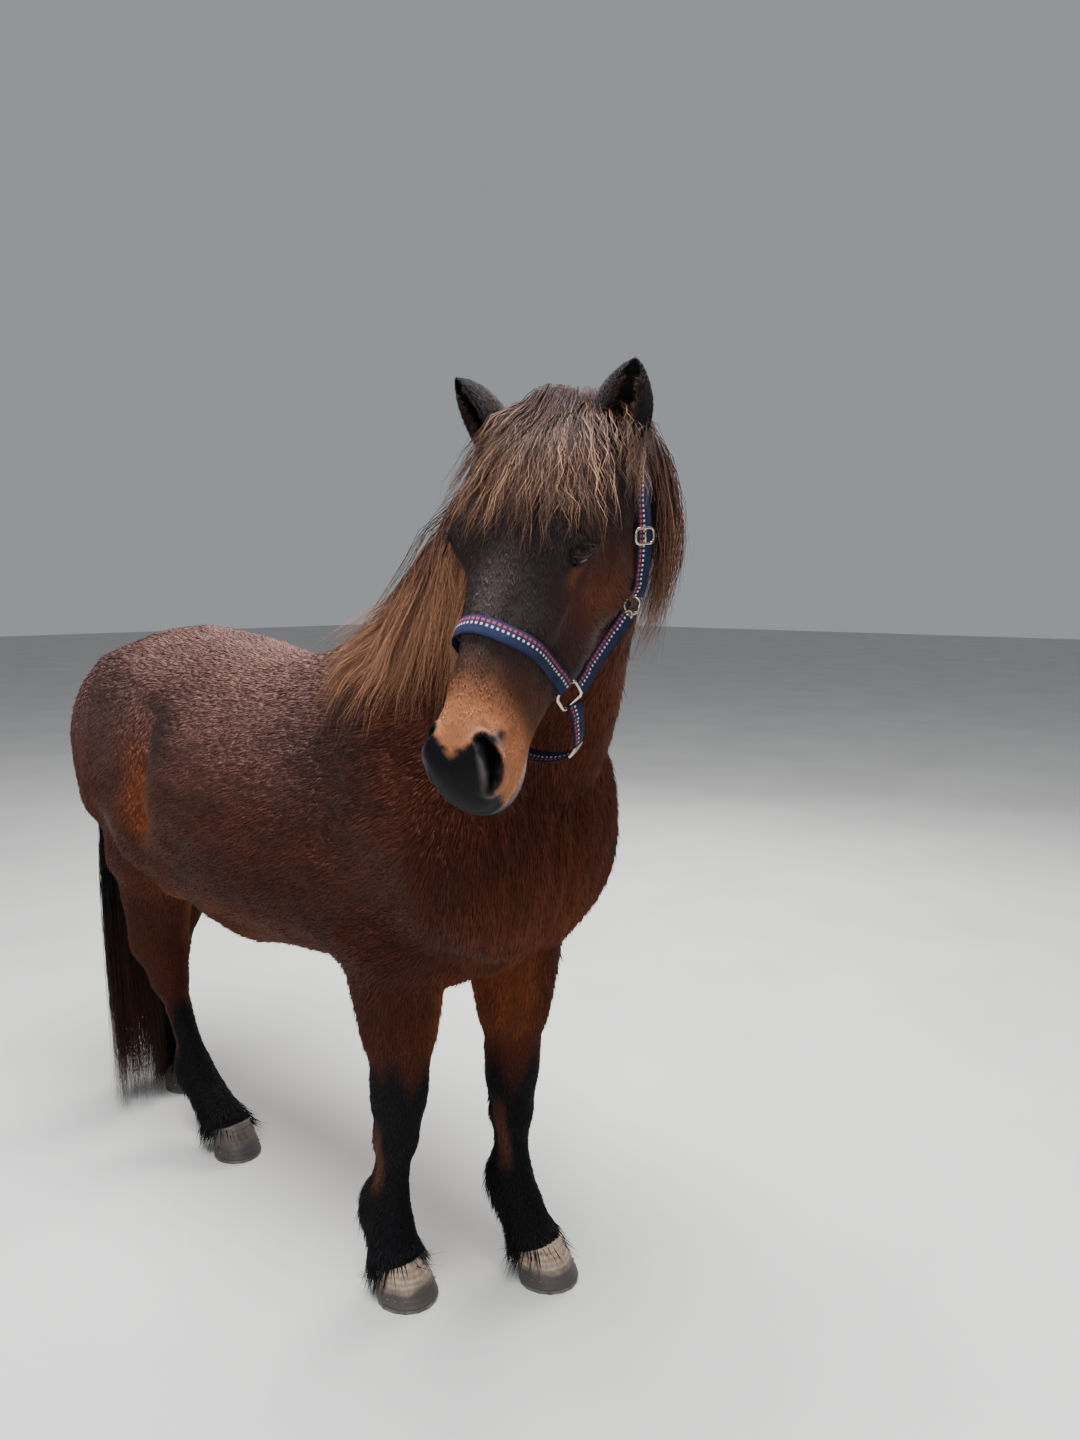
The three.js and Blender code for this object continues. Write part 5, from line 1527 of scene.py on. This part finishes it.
def make_forelock(tree, material):
    count = FORELOCK_LOCKS
    across = np.linspace(-1, 1, count) + chance.normal(0, 0.05, count)
    back = chance.uniform(-14, 30, count)
    roots = on_head(np.stack([across * 46, back, 58 - 8 * across**2], 1))
    fan = np.where(across < 0, 0.52, 0.68) * across + 0.05
    headings = np.stack([fan * 1.0, -0.9 + 0 * fan, 0.12 + 0 * fan], 1) + jitter(count, 0.1)
    pulls = np.stack([fan * 0.55, -1 + 0 * fan, -0.12 + 0 * fan], 1) + jitter(count, 0.07)
    lengths = 244 + 28 * across - 34 * np.exp(-(((across - 0.55) / 0.3) ** 2))
    lengths = lengths + chance.uniform(-26, 24, count)
    clearance = chance.uniform(4, 20, count)
    lines, normals = fall(tree, roots, headings @ head_turn.T, pulls @ head_turn.T, lengths, 16, clearance)
    strands("forelock", material, lines, normals, 21, FORELOCK_HAIR)
    count = POLL_LOCKS
    roots = [chance.uniform(60, 86, count), chance.uniform(-4, 42, count), chance.uniform(18, 44, count)]
    headings = np.tile([1.0, -0.2, 0.1], (count, 1)) + jitter(count, 0.12)
    pulls = np.tile([0.16, -1, -0.22], (count, 1)) + jitter(count, 0.08)
    lengths = chance.uniform(140, 215, count)
    clearance = chance.uniform(14, 26, count)
    lines, normals = fall(tree, on_head(np.stack(roots, 1)), headings @ head_turn.T, pulls @ head_turn.T,
                          lengths, 14, clearance)
    keep = lines[:, :, 2].max(1) - lines[:, 0, 2] < 0.01
    lines, normals = lines[keep], normals[keep]
    strands("poll_hair", material, lines, normals, 20, FORELOCK_HAIR)


TAIL_ROWS = [
    [0, 1250, 1226, 26, 26, 30], [-2, 1336, 1216, 32, 32, 38], [-8, 1396, 1140, 38, 36, 48],
    [-16, 1420, 1010, 44, 40, 56], [-26, 1424, 840, 46, 42, 58], [-36, 1412, 660, 44, 44, 58],
    [-44, 1386, 480, 44, 40, 58], [-56, 1340, 320, 42, 38, 60], [-70, 1290, 188, 40, 36, 60],
    [-84, 1262, 96, 36, 32, 58], [-96, 1240, 14, 30, 28, 52],
]


def tail_frame(t):
    """The rows of the tail at places t, and the directions towards its back there."""
    ahead = between(TAIL_ROWS, t + 0.01)[:, :3] - between(TAIL_ROWS, t - 0.01)[:, :3]
    return between(TAIL_ROWS, t), unit(np.cross(ahead, [1.0, 0, 0]))


def make_tail(material, core_material):
    last = len(TAIL_ROWS) - 1
    bm = bmesh.new()
    rings = []
    for t in np.linspace(0, last - 3.2, 26):
        (x, y, z, rise, drop, half), back = (found[0] for found in tail_frame(t))
        thin = np.interp(t, [0, 1, 5, last - 3.2], [0.95, 0.85, 0.62, 0.2])
        angles = round_angles(24)
        size = np.where(np.sin(angles) > 0, rise, drop) * thin
        wobble = 1 + 0.07 * np.sin(angles * 7 + t * 2) + 0.05 * np.sin(angles * 11)
        ring = [np.array([x, y, z]) + np.array([1, 0, 0]) * math.cos(a) * half * thin * w
                + back * math.sin(a) * s * w for a, s, w in zip(angles, size, wobble)]
        rings.append(place(ring))
    loft(bm, rings)
    core = new_piece(bm, "tail_dock", core_material, ["tail"])
    paint(core.data, "marking", np.tile(srgb(10, 8, 9), (len(core.data.vertices), 1)))
    for layer in ("along", "bleach"):
        paint(core.data, layer, np.zeros(len(core.data.vertices)))
    count = TAIL_LOCKS
    angle = chance.uniform(0, TAU, count)
    start = chance.uniform(0.4, 3.6, count)
    end = last - 1.9 * chance.random(count) ** 1.8
    reach = chance.uniform(0.62, 1.0, count)
    lines, normals = [], []
    for k in range(15):
        t = start + (end - start) * k / 14
        rows, back = tail_frame(t)
        cosine, sine = np.cos(angle), np.sin(angle)
        depth = np.where(sine > 0, rows[:, 3], rows[:, 4])
        spread = reach * (0.86 + 0.014 * k)
        out = np.stack([cosine, 0 * cosine, 0 * cosine], 1) * (rows[:, 5] * spread)[:, None]
        out = out + back * (sine * depth * spread)[:, None]
        lines.append(place(rows[:, :3] + out))
        normals.append(unit(out))
    each = 17
    strands("tail_hair", material, np.stack(lines, 1), np.stack(normals, 1), each, TAIL_HAIR)


# Ears
EAR_ROWS = [
    [0, 25, 26], [0.06, 28.5, 27.5], [0.12, 32, 28], [0.2, 36, 27.5], [0.3, 39, 26], [0.4, 40, 23.5],
    [0.5, 39, 21], [0.6, 36, 18.5], [0.68, 32.5, 16], [0.76, 28, 13.5], [0.84, 22, 10.5], [0.9, 16.5, 8],
    [0.95, 11, 6], [0.985, 5.5, 3.5], [1, 1.5, 1.5],
]


def ear_frame(side):
    base = np.array([side * (92 if side > 0 else 98), -50, 22], float)
    axis = unit([side * (0.28 if side > 0 else 0.7), 0.84, 0.5])
    facing = np.array([side * 0.5, -0.4, 0.8])
    facing = unit(facing - axis * facing.dot(axis))
    return base, axis, facing, unit(np.cross(axis, facing))


def ear_ring(side, f):
    """A crescent section of the ear: round the back from edge to edge, and back along the inside."""
    spokes = EAR_SPOKES
    base, axis, facing, across = ear_frame(side)
    half, deep = [np.interp(f, [r[0] for r in EAR_ROWS], [r[k] for r in EAR_ROWS]) for k in (1, 2)]
    centre = base + axis * f * EAR_LENGTH + facing * 14 * f * f
    opening = np.interp(f, [0, 0.14, 0.3, 1], [1.45, 0.95, 0.62, 0.5])
    angles = np.linspace(math.pi / 2 - opening, -math.pi * 1.5 + opening, spokes)
    curl = 1 - 0.10 * np.exp(-(((angles + math.pi / 2) / 0.5) ** 2)) * (f > 0.2)
    outer = [centre + across * math.cos(a) * half + facing * math.sin(a) * deep * c
             for a, c in zip(angles, curl)]
    thin = min(2.6, half * 0.4)
    sides = np.linspace(-1, 1, spokes)
    inner = []
    for a, c, s in zip(angles, curl, sides):
        wall = thin * (1.5 - 0.8 * s * s)
        w, d = max(half - wall, 0.3), max(deep - wall * 1.2, 0.3)
        inner.append(centre + across * math.cos(a) * w + facing * math.sin(a) * d * c + facing * 0.2)
    return outer + inner[::-1]


def make_ears(skin_look, coat_look, hair_look):
    spokes = EAR_SPOKES
    for side, word in SIDES:
        bm = bmesh.new()
        places = np.concatenate([np.linspace(0, 0.9, 26), [0.94, 0.97, 0.99, 1.0]])
        loft(bm, [on_head(ear_ring(side, f)) for f in places])
        mesh = mesh_of(bm, f"ear_{word}")
        count = len(mesh.vertices)
        inside = np.tile(np.arange(spokes * 2) >= spokes, count // (spokes * 2))
        f = np.repeat(places, spokes * 2)
        there_and_back = np.concatenate([np.linspace(-1, 1, spokes), np.linspace(1, -1, spokes)])
        sides = np.tile(there_and_back, len(places))
        colour = np.tile(srgb(28, 21, 21), (count, 1))
        colour = blend(colour, BLACK, ramp(0.6, 1, f) * 0.8)
        colour = blend(colour, BLACK, 0.8 * ramp(0.75, 1, np.abs(sides)))
        colour = blend(colour, np.array(srgb(11, 9, 10)), inside * 0.9)
        paint(mesh, "marking", colour)
        ear = link(f"ear_{word}", mesh)
        finish_piece(ear, skin_look, [f"ear_{word}"])
        _, axis, facing, _ = ear_frame(side)
        lie = axis @ head_turn.T
        length = 8 - 3 * ramp(0.5, 1, f) + 3 * ramp(0.2, 0, f)
        patch = Furry(mesh, lie, colour, length)
        weight = np.where(inside, 0.25, 1.0)
        values_here = patch.roots(weight, EAR_TUFTS)
        make_tufts(f"ear_fur_{word}", coat_look, *values_here, 1.7, 0.22, "coat_dark")
        lines, outs = [], []
        for edge in (-1, 1):
            for f_here in np.linspace(0.04, 0.8, 34):
                ring = ear_ring(side, f_here)
                root = ring[0] if edge < 0 else ring[spokes - 1]
                middle = np.mean(ring, axis=0)
                inward = unit(middle - root)
                size = np.interp(f_here, [0, 0.4, 0.8], [1.15, 1.0, 0.4]) * chance.uniform(0.7, 1.1)
                line = [root + (inward * k * 3.0 + axis * k * 2.4 + facing * (5 - 0.9 * k) * 0.5) * size
                        for k in range(7)]
                lines.append(on_head(line))
                outs.append(np.tile(facing @ head_turn.T, (7, 1)))
        each = 13
        strands(f"ear_hair_{word}", hair_look, np.stack(lines), np.stack(outs), each, EAR_HAIR)


# Eyes
def lid_line(side):
    """The rim of the opened lids, on the ball of the eye."""
    out, count = 0.7, 48
    axis, along, upwards = eye_axes(side)
    centre = EYE_PLACE * [side, 1, 1]
    rim, turned = [], []
    for j in range(count):
        length, height = lid_offset(j / count * TAU)
        radius = EYE_RADIUS + out
        ahead = math.sqrt(max(radius**2 - length**2 - height**2, 0))
        point = axis * ahead + along * length + upwards * height
        rim.append(centre + point)
        turned.append(unit(point))
    return np.array(rim), np.array(turned), axis, along, upwards


def make_eyes(ball_look, lid_look, hair_look):
    for side, word in SIDES:
        ball = link(f"eye_{word}", eyeball(side))
        finish_piece(ball, ball_look, [f"eye_{word}"])
        rim, turned, axis, along, upwards = lid_line(side)
        count = len(rim)
        rings = []
        for j in range(count):
            ahead = unit(rim[(j + 1) % count] - rim[j - 1])
            out = turned[j]
            across = np.cross(ahead, out)
            rings.append(on_head([rim[j] + across * math.cos(a) * 3.0 + out * math.sin(a) * 1.9
                                  for a in round_angles(10)]))
        bm = bmesh.new()
        loft(bm, rings, closed=True)
        new_piece(bm, f"lids_{word}", lid_look)
        lines, outs = [], []
        for j in range(3, 22):
            root = rim[j] + turned[j] * 1.6
            direction = unit(axis * 0.9 + upwards * 0.15 + along * 0.25 * math.cos(j / 24 * math.pi))
            line = [root + direction * 3.4 * k - upwards * 0.16 * k * k for k in range(7)]
            lines.append(on_head(line))
            outs.append(np.tile(upwards @ head_turn.T, (7, 1)))
        strands(f"lashes_{word}", hair_look, np.stack(lines), np.stack(outs), 5, LASH_HAIR)


# Whiskers on each side of the muzzle and chin: number, and ranges sideways, along the face and in height
WHISKERS = [(26, (30, 66), (470, 550), (-86, -40)), (16, (4, 40), (480, 556), (-140, -110))]


def make_whiskers(tree, material):
    lines, outs = [], []
    spots = []
    for side in (-1, 1):
        for number, across, along, up in WHISKERS:
            for _ in range(number):
                x, y = side * chance.uniform(*across), -chance.uniform(*along)
                spots.append([x, y, chance.uniform(*up)])
    for spot_here in spots:
        root, normal, _, _ = tree.find_nearest(Vector(on_head([spot_here])[0]))
        root, normal = np.array(root), np.array(normal)
        direction = unit(normal + chance.normal(0, 0.25, 3) + [0, 0, -0.3])
        size = chance.uniform(3.0, 6.5) * MM
        lines.append([root + direction * size * k + np.array([0, 0, -0.10 * MM]) * k * k for k in range(7)])
        outs.append(np.tile(normal, (7, 1)))
    strands("whiskers", material, np.array(lines), np.array(outs), 1, WHISKER_HAIR)


# Hooves
HOOF_ROWS = [[86, -14, 0.79], [74, -8, 0.83], [55, 2, 0.885], [40, 8, 0.93], [22, 15, 0.98], [8.3, 20, 1.02]]


def make_hooves(material, steel):
    for name in LEG_LINES:
        fore = name.startswith("fore")
        word = ("fore_" if fore else "hind_") + name.split("_")[1]
        x, y = leg_middle(name, [40])[0]
        _, high_y = leg_middle(name, [62])[0]
        half, length = (62, 68) if fore else (57, 64)
        rings = []
        for t in np.linspace(0, len(HOOF_ROWS) - 1, 22):
            z, ahead, scale = between(HOOF_ROWS, t)[0]
            groove = 1 + 0.003 * math.sin(t * 17) * (t < 4.6)
            angles = round_angles(56)
            sine, cosine = np.sin(angles), np.cos(angles)
            ring_x = x + cosine * half * scale * groove * np.where(sine < 0, 1 - 0.16 * sine * sine, 1)
            ring_y = y - ahead - sine * np.where(sine > 0, length, length * 0.86) * scale * groove
            heel = np.exp(-((cosine / 0.22) ** 2)) * (sine < 0) * 10
            ring_y = ring_y - heel
            top = 66 - 0.34 * (ring_y - high_y)
            ring_z = np.minimum(z, top)
            rings.append(place(np.stack([ring_x, ring_y, ring_z], 1)))
        bm = bmesh.new()
        loft(bm, rings)
        new_piece(bm, f"hoof_{word}", material, [f"hoof_{word}"])
        bm = bmesh.new()
        for side in (-1, 1):
            for angle in (0.25, 0.55, 0.85):
                cosine, sine = math.cos(angle) * side, math.sin(angle)
                spot_x = x + cosine * half * 0.985
                spot_y = y - 14 - sine * length * 0.985
                there = Matrix.Translation(Vector(place([spot_x, spot_y, 24])))
                matrix = there @ Matrix.Diagonal((1, 1, 0.8, 1))
                bmesh.ops.create_icosphere(bm, subdivisions=2, radius=0.0026, matrix=matrix)
        new_piece(bm, f"clinches_{word}", steel)
        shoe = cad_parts[f"shoe_{word}"]
        for slot in shoe.material_slots:
            slot.material = steel


# Halter
def head_point(along, angle):
    """The point of the head's surface at a place along it and an angle from its left side."""
    return head_form.points(np.array([head_form.t_at(along)]), np.array([angle]))[0][0]


def beside_head(along, height):
    """The point of the head's left side at a place along it and a height."""
    low, high = -math.pi / 2, math.pi / 2
    for _ in range(20):
        angle = (low + high) / 2
        if head_point(along, angle)[2] < height:
            low = angle
        else:
            high = angle
    return head_point(along, low)


def on_surface(points, lift):
    """The head's surface beside some points, lifted; gives the outward directions too."""
    points = np.asarray(points, float)
    along = -points[:, 1]
    t = head_form.t_at(along)
    middle = head_form.middle_at(along)
    angle = np.arctan2(points[:, 2] - middle, points[:, 0])
    found, direction = head_form.points(t, angle)
    return found + direction * np.reshape(lift, (-1, 1)), direction


def smooth_path(points, count):
    """A path through the given points with even steps."""
    fine = between(points, np.linspace(0, len(points) - 1, 400))
    gaps = np.concatenate([[0], np.cumsum(np.linalg.norm(np.diff(fine, axis=0), axis=1))])
    even = np.linspace(0, gaps[-1], count)
    return np.stack([np.interp(even, gaps, fine[:, k]) for k in range(3)], 1), gaps[-1]


def clear_of_skin(tree, base, out, half):
    """Webbing pushed outwards where its middle or an edge would sink into the coat."""
    ahead = unit(np.gradient(base, axis=0))
    across = unit(np.cross(ahead, out))
    need = np.zeros(len(base))
    for share in (-1, -0.5, 0, 0.5, 1):
        spots = on_head(base + across * half * share)
        for k, spot_here in enumerate(spots):
            near, normal, _, _ = tree.find_nearest(Vector(spot_here))
            depth = (Vector(spot_here) - near).dot(normal) / MM
            need[k] = max(need[k], STRAP_GAP - depth)
    need[0] = need[-1] = 0
    need = np.maximum(need, 0)
    for _ in range(60):
        need[1:-1] = np.maximum(need[1:-1], (need[:-2] + need[1:-1] * 2 + need[2:]) / 4)
    for _ in range(12):
        need[1:-1] = (need[:-2] + need[1:-1] * 2 + need[2:]) / 4
    return base + out * need[:, None]


def make_strap(
    name, path, width, lift, material, nodes, flip=False, count=60, ends=True, outs=None, tree=None
):
    """Woven webbing along a path beside the head, with thicker ends where it turns round its rings.

    Gives the middle line of its inner side, and the directions out of it and along it.
    """
    path, total = smooth_path(path, count)
    lifts = np.interp(np.linspace(0, 1, count), np.linspace(0, 1, np.size(lift)), np.atleast_1d(lift))
    if outs is None:
        base, out = on_surface(path, lifts)
    else:
        base, out = path, unit(between(outs, np.linspace(0, len(outs) - 1, count)))
        if np.max(lifts) > 0:
            base, _ = on_surface(path, lifts)
    for _ in range(4):
        base[1:-1] = (base[:-2] + base[1:-1] * 2 + base[2:]) / 4
    if tree is not None:
        base = clear_of_skin(tree, base, out, width / 2)
    ahead = unit(np.gradient(base, axis=0))
    across = unit(np.cross(ahead, out))
    out = unit(np.cross(across, ahead))
    f = np.linspace(0, total, count)
    thick = np.full(count, STRAP_THICKNESS)
    if ends:
        near_end = np.minimum(f, total - f)
        thick = thick + STRAP_DOUBLING * ramp(30, 27, near_end)
    half = width / 2
    rings = []
    profile = [(-1, 0.3), (-0.96, 0.02), (-0.5, 0), (0, 0), (0.5, 0), (0.96, 0.02), (1, 0.3), (1, 0.7),
               (0.96, 0.98), (0.5, 1.0), (0, 1.0), (-0.5, 1.0), (-0.96, 0.98), (-1, 0.7)]
    for k in range(count):
        ring = [base[k] + across[k] * u * half + out[k] * (v * thick[k] + 0.5) for u, v in profile]
        rings.append(on_head(ring))
    shares = [(1 - u) / 2 if flip else (1 + u) / 2 for u, v in profile]
    bm = bmesh.new()
    bm.verts.layers.float.new("strap_along")
    bm.verts.layers.float.new("strap_across")
    loft(bm, rings, marks=(f * MM, shares))
    new_piece(bm, name, material, nodes)
    return base, out, ahead


def wire(bm, path, radius, closed):
    """Round wire along a path of points in the head's frame."""
    count = len(path)
    rings = []
    normal = unit(np.cross(path[1] - path[0], path[2] - path[1]) + 1e-6)
    for k in range(count):
        after = path[(k + 1) % count] if closed or k < count - 1 else path[k]
        before = path[k - 1] if closed or k > 0 else path[k]
        ahead = unit(after - before)
        across = unit(np.cross(ahead, normal))
        up = np.cross(across, ahead)
        turned = [across * math.cos(a) + up * math.sin(a) for a in round_angles(12)]
        rings.append(on_head([path[k] + way * radius for way in turned]))
    loft(bm, rings, closed)


def metal_piece(name, metal, wires, nodes=()):
    """A piece of round wires, each with its path, its radius and whether its ends meet."""
    bm = bmesh.new()
    for path, radius, closed in wires:
        wire(bm, path, radius, closed)
    new_piece(bm, name, metal, nodes)


def frame_path(centre, first, second, width, height, corner, steps=5):
    """A rounded rectangle round a centre, in the plane of two directions."""
    path = []
    for k, (sx, sy) in enumerate(((1, 1), (-1, 1), (-1, -1), (1, -1))):
        for j in range(steps):
            angle = (k + j / (steps - 1)) * math.pi / 2
            u = sx * (width / 2 - corner) + math.cos(angle) * corner
            v = sy * (height / 2 - corner) + math.sin(angle) * corner
            path.append(centre + first * u + second * v)
    return np.array(path)


def both(points):
    """A path from the left side over to the right, from its left half and its middle."""
    half = [np.array(p, float) for p in points]
    return half + [p * [-1, 1, 1] for p in half[-2::-1]]


def make_halter(tree, webbing, nickel):
    for side, word in SIDES:
        mirror = np.array([side, 1, 1])
        centre = np.array([68, -369, -105]) * mirror
        poll_side = unit(np.array([0.5, 0.86, -0.05]) * mirror)
        chin_side = unit(np.array([0, -0.28, -0.96]) * mirror)
        square = frame_path(centre, poll_side, chin_side, 36, 32, 7)
        metal_piece(f"halter_ring_{word}", nickel, [(square, 2.8, True)], [f"halter_ring_{word}"])
        centre = np.array([98, -208, -141]) * mirror
        upper = unit(np.array([0.1, 0.98, 0.12]) * mirror)
        out = unit(np.array([0.85, -0.2, 0.45]) * mirror)
        across = unit(np.cross(out, upper))
        lower = unit(np.array([-0.25, -0.95, -0.1]) * mirror)
        tab = [centre + lower * 13 + out * 3, centre + lower * 22 + out * 4, centre + lower * 36 + out * 4]
        snap = [
            (frame_path(centre, upper, across, 26, 25, 11), 2.3, True),
            (np.array(tab), 3.6, False),
            (frame_path(centre + lower * 19 + out * 3, lower, across, 18, 13, 6), 1.8, True),
        ]
        metal_piece(f"halter_side_ring_{word}", nickel, snap, [f"halter_side_ring_{word}"])
        cheek = np.array([[77, -353, -108], [80, -320, -117], [86, -272, -130], [94, -226, -139]]) * mirror
        outs = [[0.86, -0.42, 0.25], [0.9, -0.3, 0.3], [0.9, -0.25, 0.35], [0.88, -0.2, 0.4]] * mirror
        make_strap(f"halter_cheek_{word}", cheek, STRAP_WIDTH - 3, 0, webbing, [f"halter_cheek_{word}"],
                   flip=side > 0, outs=outs, tree=tree)
    nose = both([[68, -363, -89], [67, -356, -60], [64, -350, -28], [57, -346, 6], [38, -343, 36],
                 [0, -341, 49]])
    outs = both([[0.9, -0.3, 0.2], [0.95, -0.15, 0.2], [0.97, -0.05, 0.2], [0.85, 0, 0.5], [0.5, 0, 0.86],
                 [0, 0.05, 1]])
    make_strap("halter_nose_strap", nose, STRAP_WIDTH, 0, webbing, ["halter_noseband"], flip=False,
               count=90, outs=outs, tree=tree)
    chin = both([[68, -374, -121], [68, -390, -142], [65, -412, -166], [55, -430, -180], [30, -443, -178],
                 [0, -448, -174]])
    outs = both([[0.9, -0.4, 0.1], [0.95, -0.2, 0], [0.92, -0.2, -0.2], [0.6, -0.4, -0.6],
                 [0.15, -0.5, -0.8], [0, -0.5, -0.85]])
    base, out, ahead = make_strap(
        "halter_chin_strap", chin, STRAP_WIDTH - 4, 0, webbing, [], count=70, outs=outs
    )
    for word, k in (("left", 19), ("right", 50)):
        across = unit(np.cross(ahead[k], out[k]))
        middle = base[k] + out[k] * 1.8
        slide = frame_path(middle, across, ahead[k], STRAP_WIDTH + 4, 16, 4)
        bar = np.array([middle + across * s * (STRAP_WIDTH / 2) + out[k] * 1.6 for s in (-1, 0, 1)])
        metal_piece(f"chin_slide_{word}", nickel, [(slide, 2.2, True), (bar, 1.8, False)])
    behind_cheek = [(170, -108), (140, -86), (110, -66), (84, -50), (52, -44), (14, -28), (-16, 16)]
    sides = [beside_head(along, height) for along, height in behind_cheek]
    crown = both([[100, -194, -136], *sides, head_point(-16, math.pi / 2)])
    outs = both([[0.88, -0.25, 0.35], [0.9, -0.15, 0.35], [0.9, -0.1, 0.4], [0.9, 0, 0.4], [0.88, 0, 0.45],
                 [0.85, 0, 0.5], [0.75, 0.1, 0.6], [0.4, 0.2, 0.9], [0, 0.2, 1]])
    lifts = [0.1, 7, 7, 7, 7, 6, 5, 4, 4, 4, 5, 6, 7, 7, 7, 7, 0.1]
    base, out, ahead = make_strap(
        "halter_crown", crown, STRAP_WIDTH - 4, lifts, webbing, ["halter_crown"],
        flip=True, count=140, outs=outs, tree=tree,
    )
    for word, k in (("left", 19), ("right", 120)):
        across = unit(np.cross(ahead[k], out[k]))
        middle = base[k] + out[k] * 2.2
        buckle = frame_path(middle, across, ahead[k], STRAP_WIDTH + 3, 22, 7)
        tongue = np.array([middle + ahead[k] * s * 10 + out[k] * 1.8 for s in (-1, 0, 1)])
        metal_piece(f"buckle_{word}", nickel, [(buckle, 2.3, True), (tongue, 1.5, False)])
    throat = both([[97, -212, -156], beside_head(208, -174), head_point(200, -math.pi / 2)])
    make_strap("halter_throat", throat, STRAP_WIDTH - 12, 2.5, webbing, ["halter_throat"], ends=False)


make_camera()
make_studio()
skin_mesh = make_skin_mesh()
values = Skin(skin_mesh)
paint(skin_mesh, "marking", values.colour)
paint(skin_mesh, "bare", values.bare)
skin = link("skin", skin_mesh)
flesh = ["torso", "neck", "head", "foreleg_left", "foreleg_right", "hindleg_left", "hindleg_right"]
finish_piece(skin, skin_material(), flesh)
coat_look = coat_material()
make_coat(values, coat_look)
hair_look = hair_material("mane hair", srgb(190, 136, 98), 0.42)
make_mane(values.tree, hair_look)
make_forelock(values.tree, hair_material("forelock hair", srgb(200, 156, 124), 0.15))
make_tail(hair_material("tail hair", srgb(96, 52, 36), 0.5), hair_look)
make_ears(ear_material(), coat_material("ear fur", 0.1), hair_look)
make_eyes(eye_material(), lid_material(), hair_look)
make_whiskers(values.tree, hair_look)
steel = metal_material("shoe steel", srgb(120, 118, 116), 0.42, srgb(82, 70, 60))
make_hooves(horn_material(), steel)
webbing = webbing_material()
nickel = metal_material("nickel", srgb(196, 186, 168), 0.2, srgb(150, 140, 122))
make_halter(values.tree, webbing, nickel)
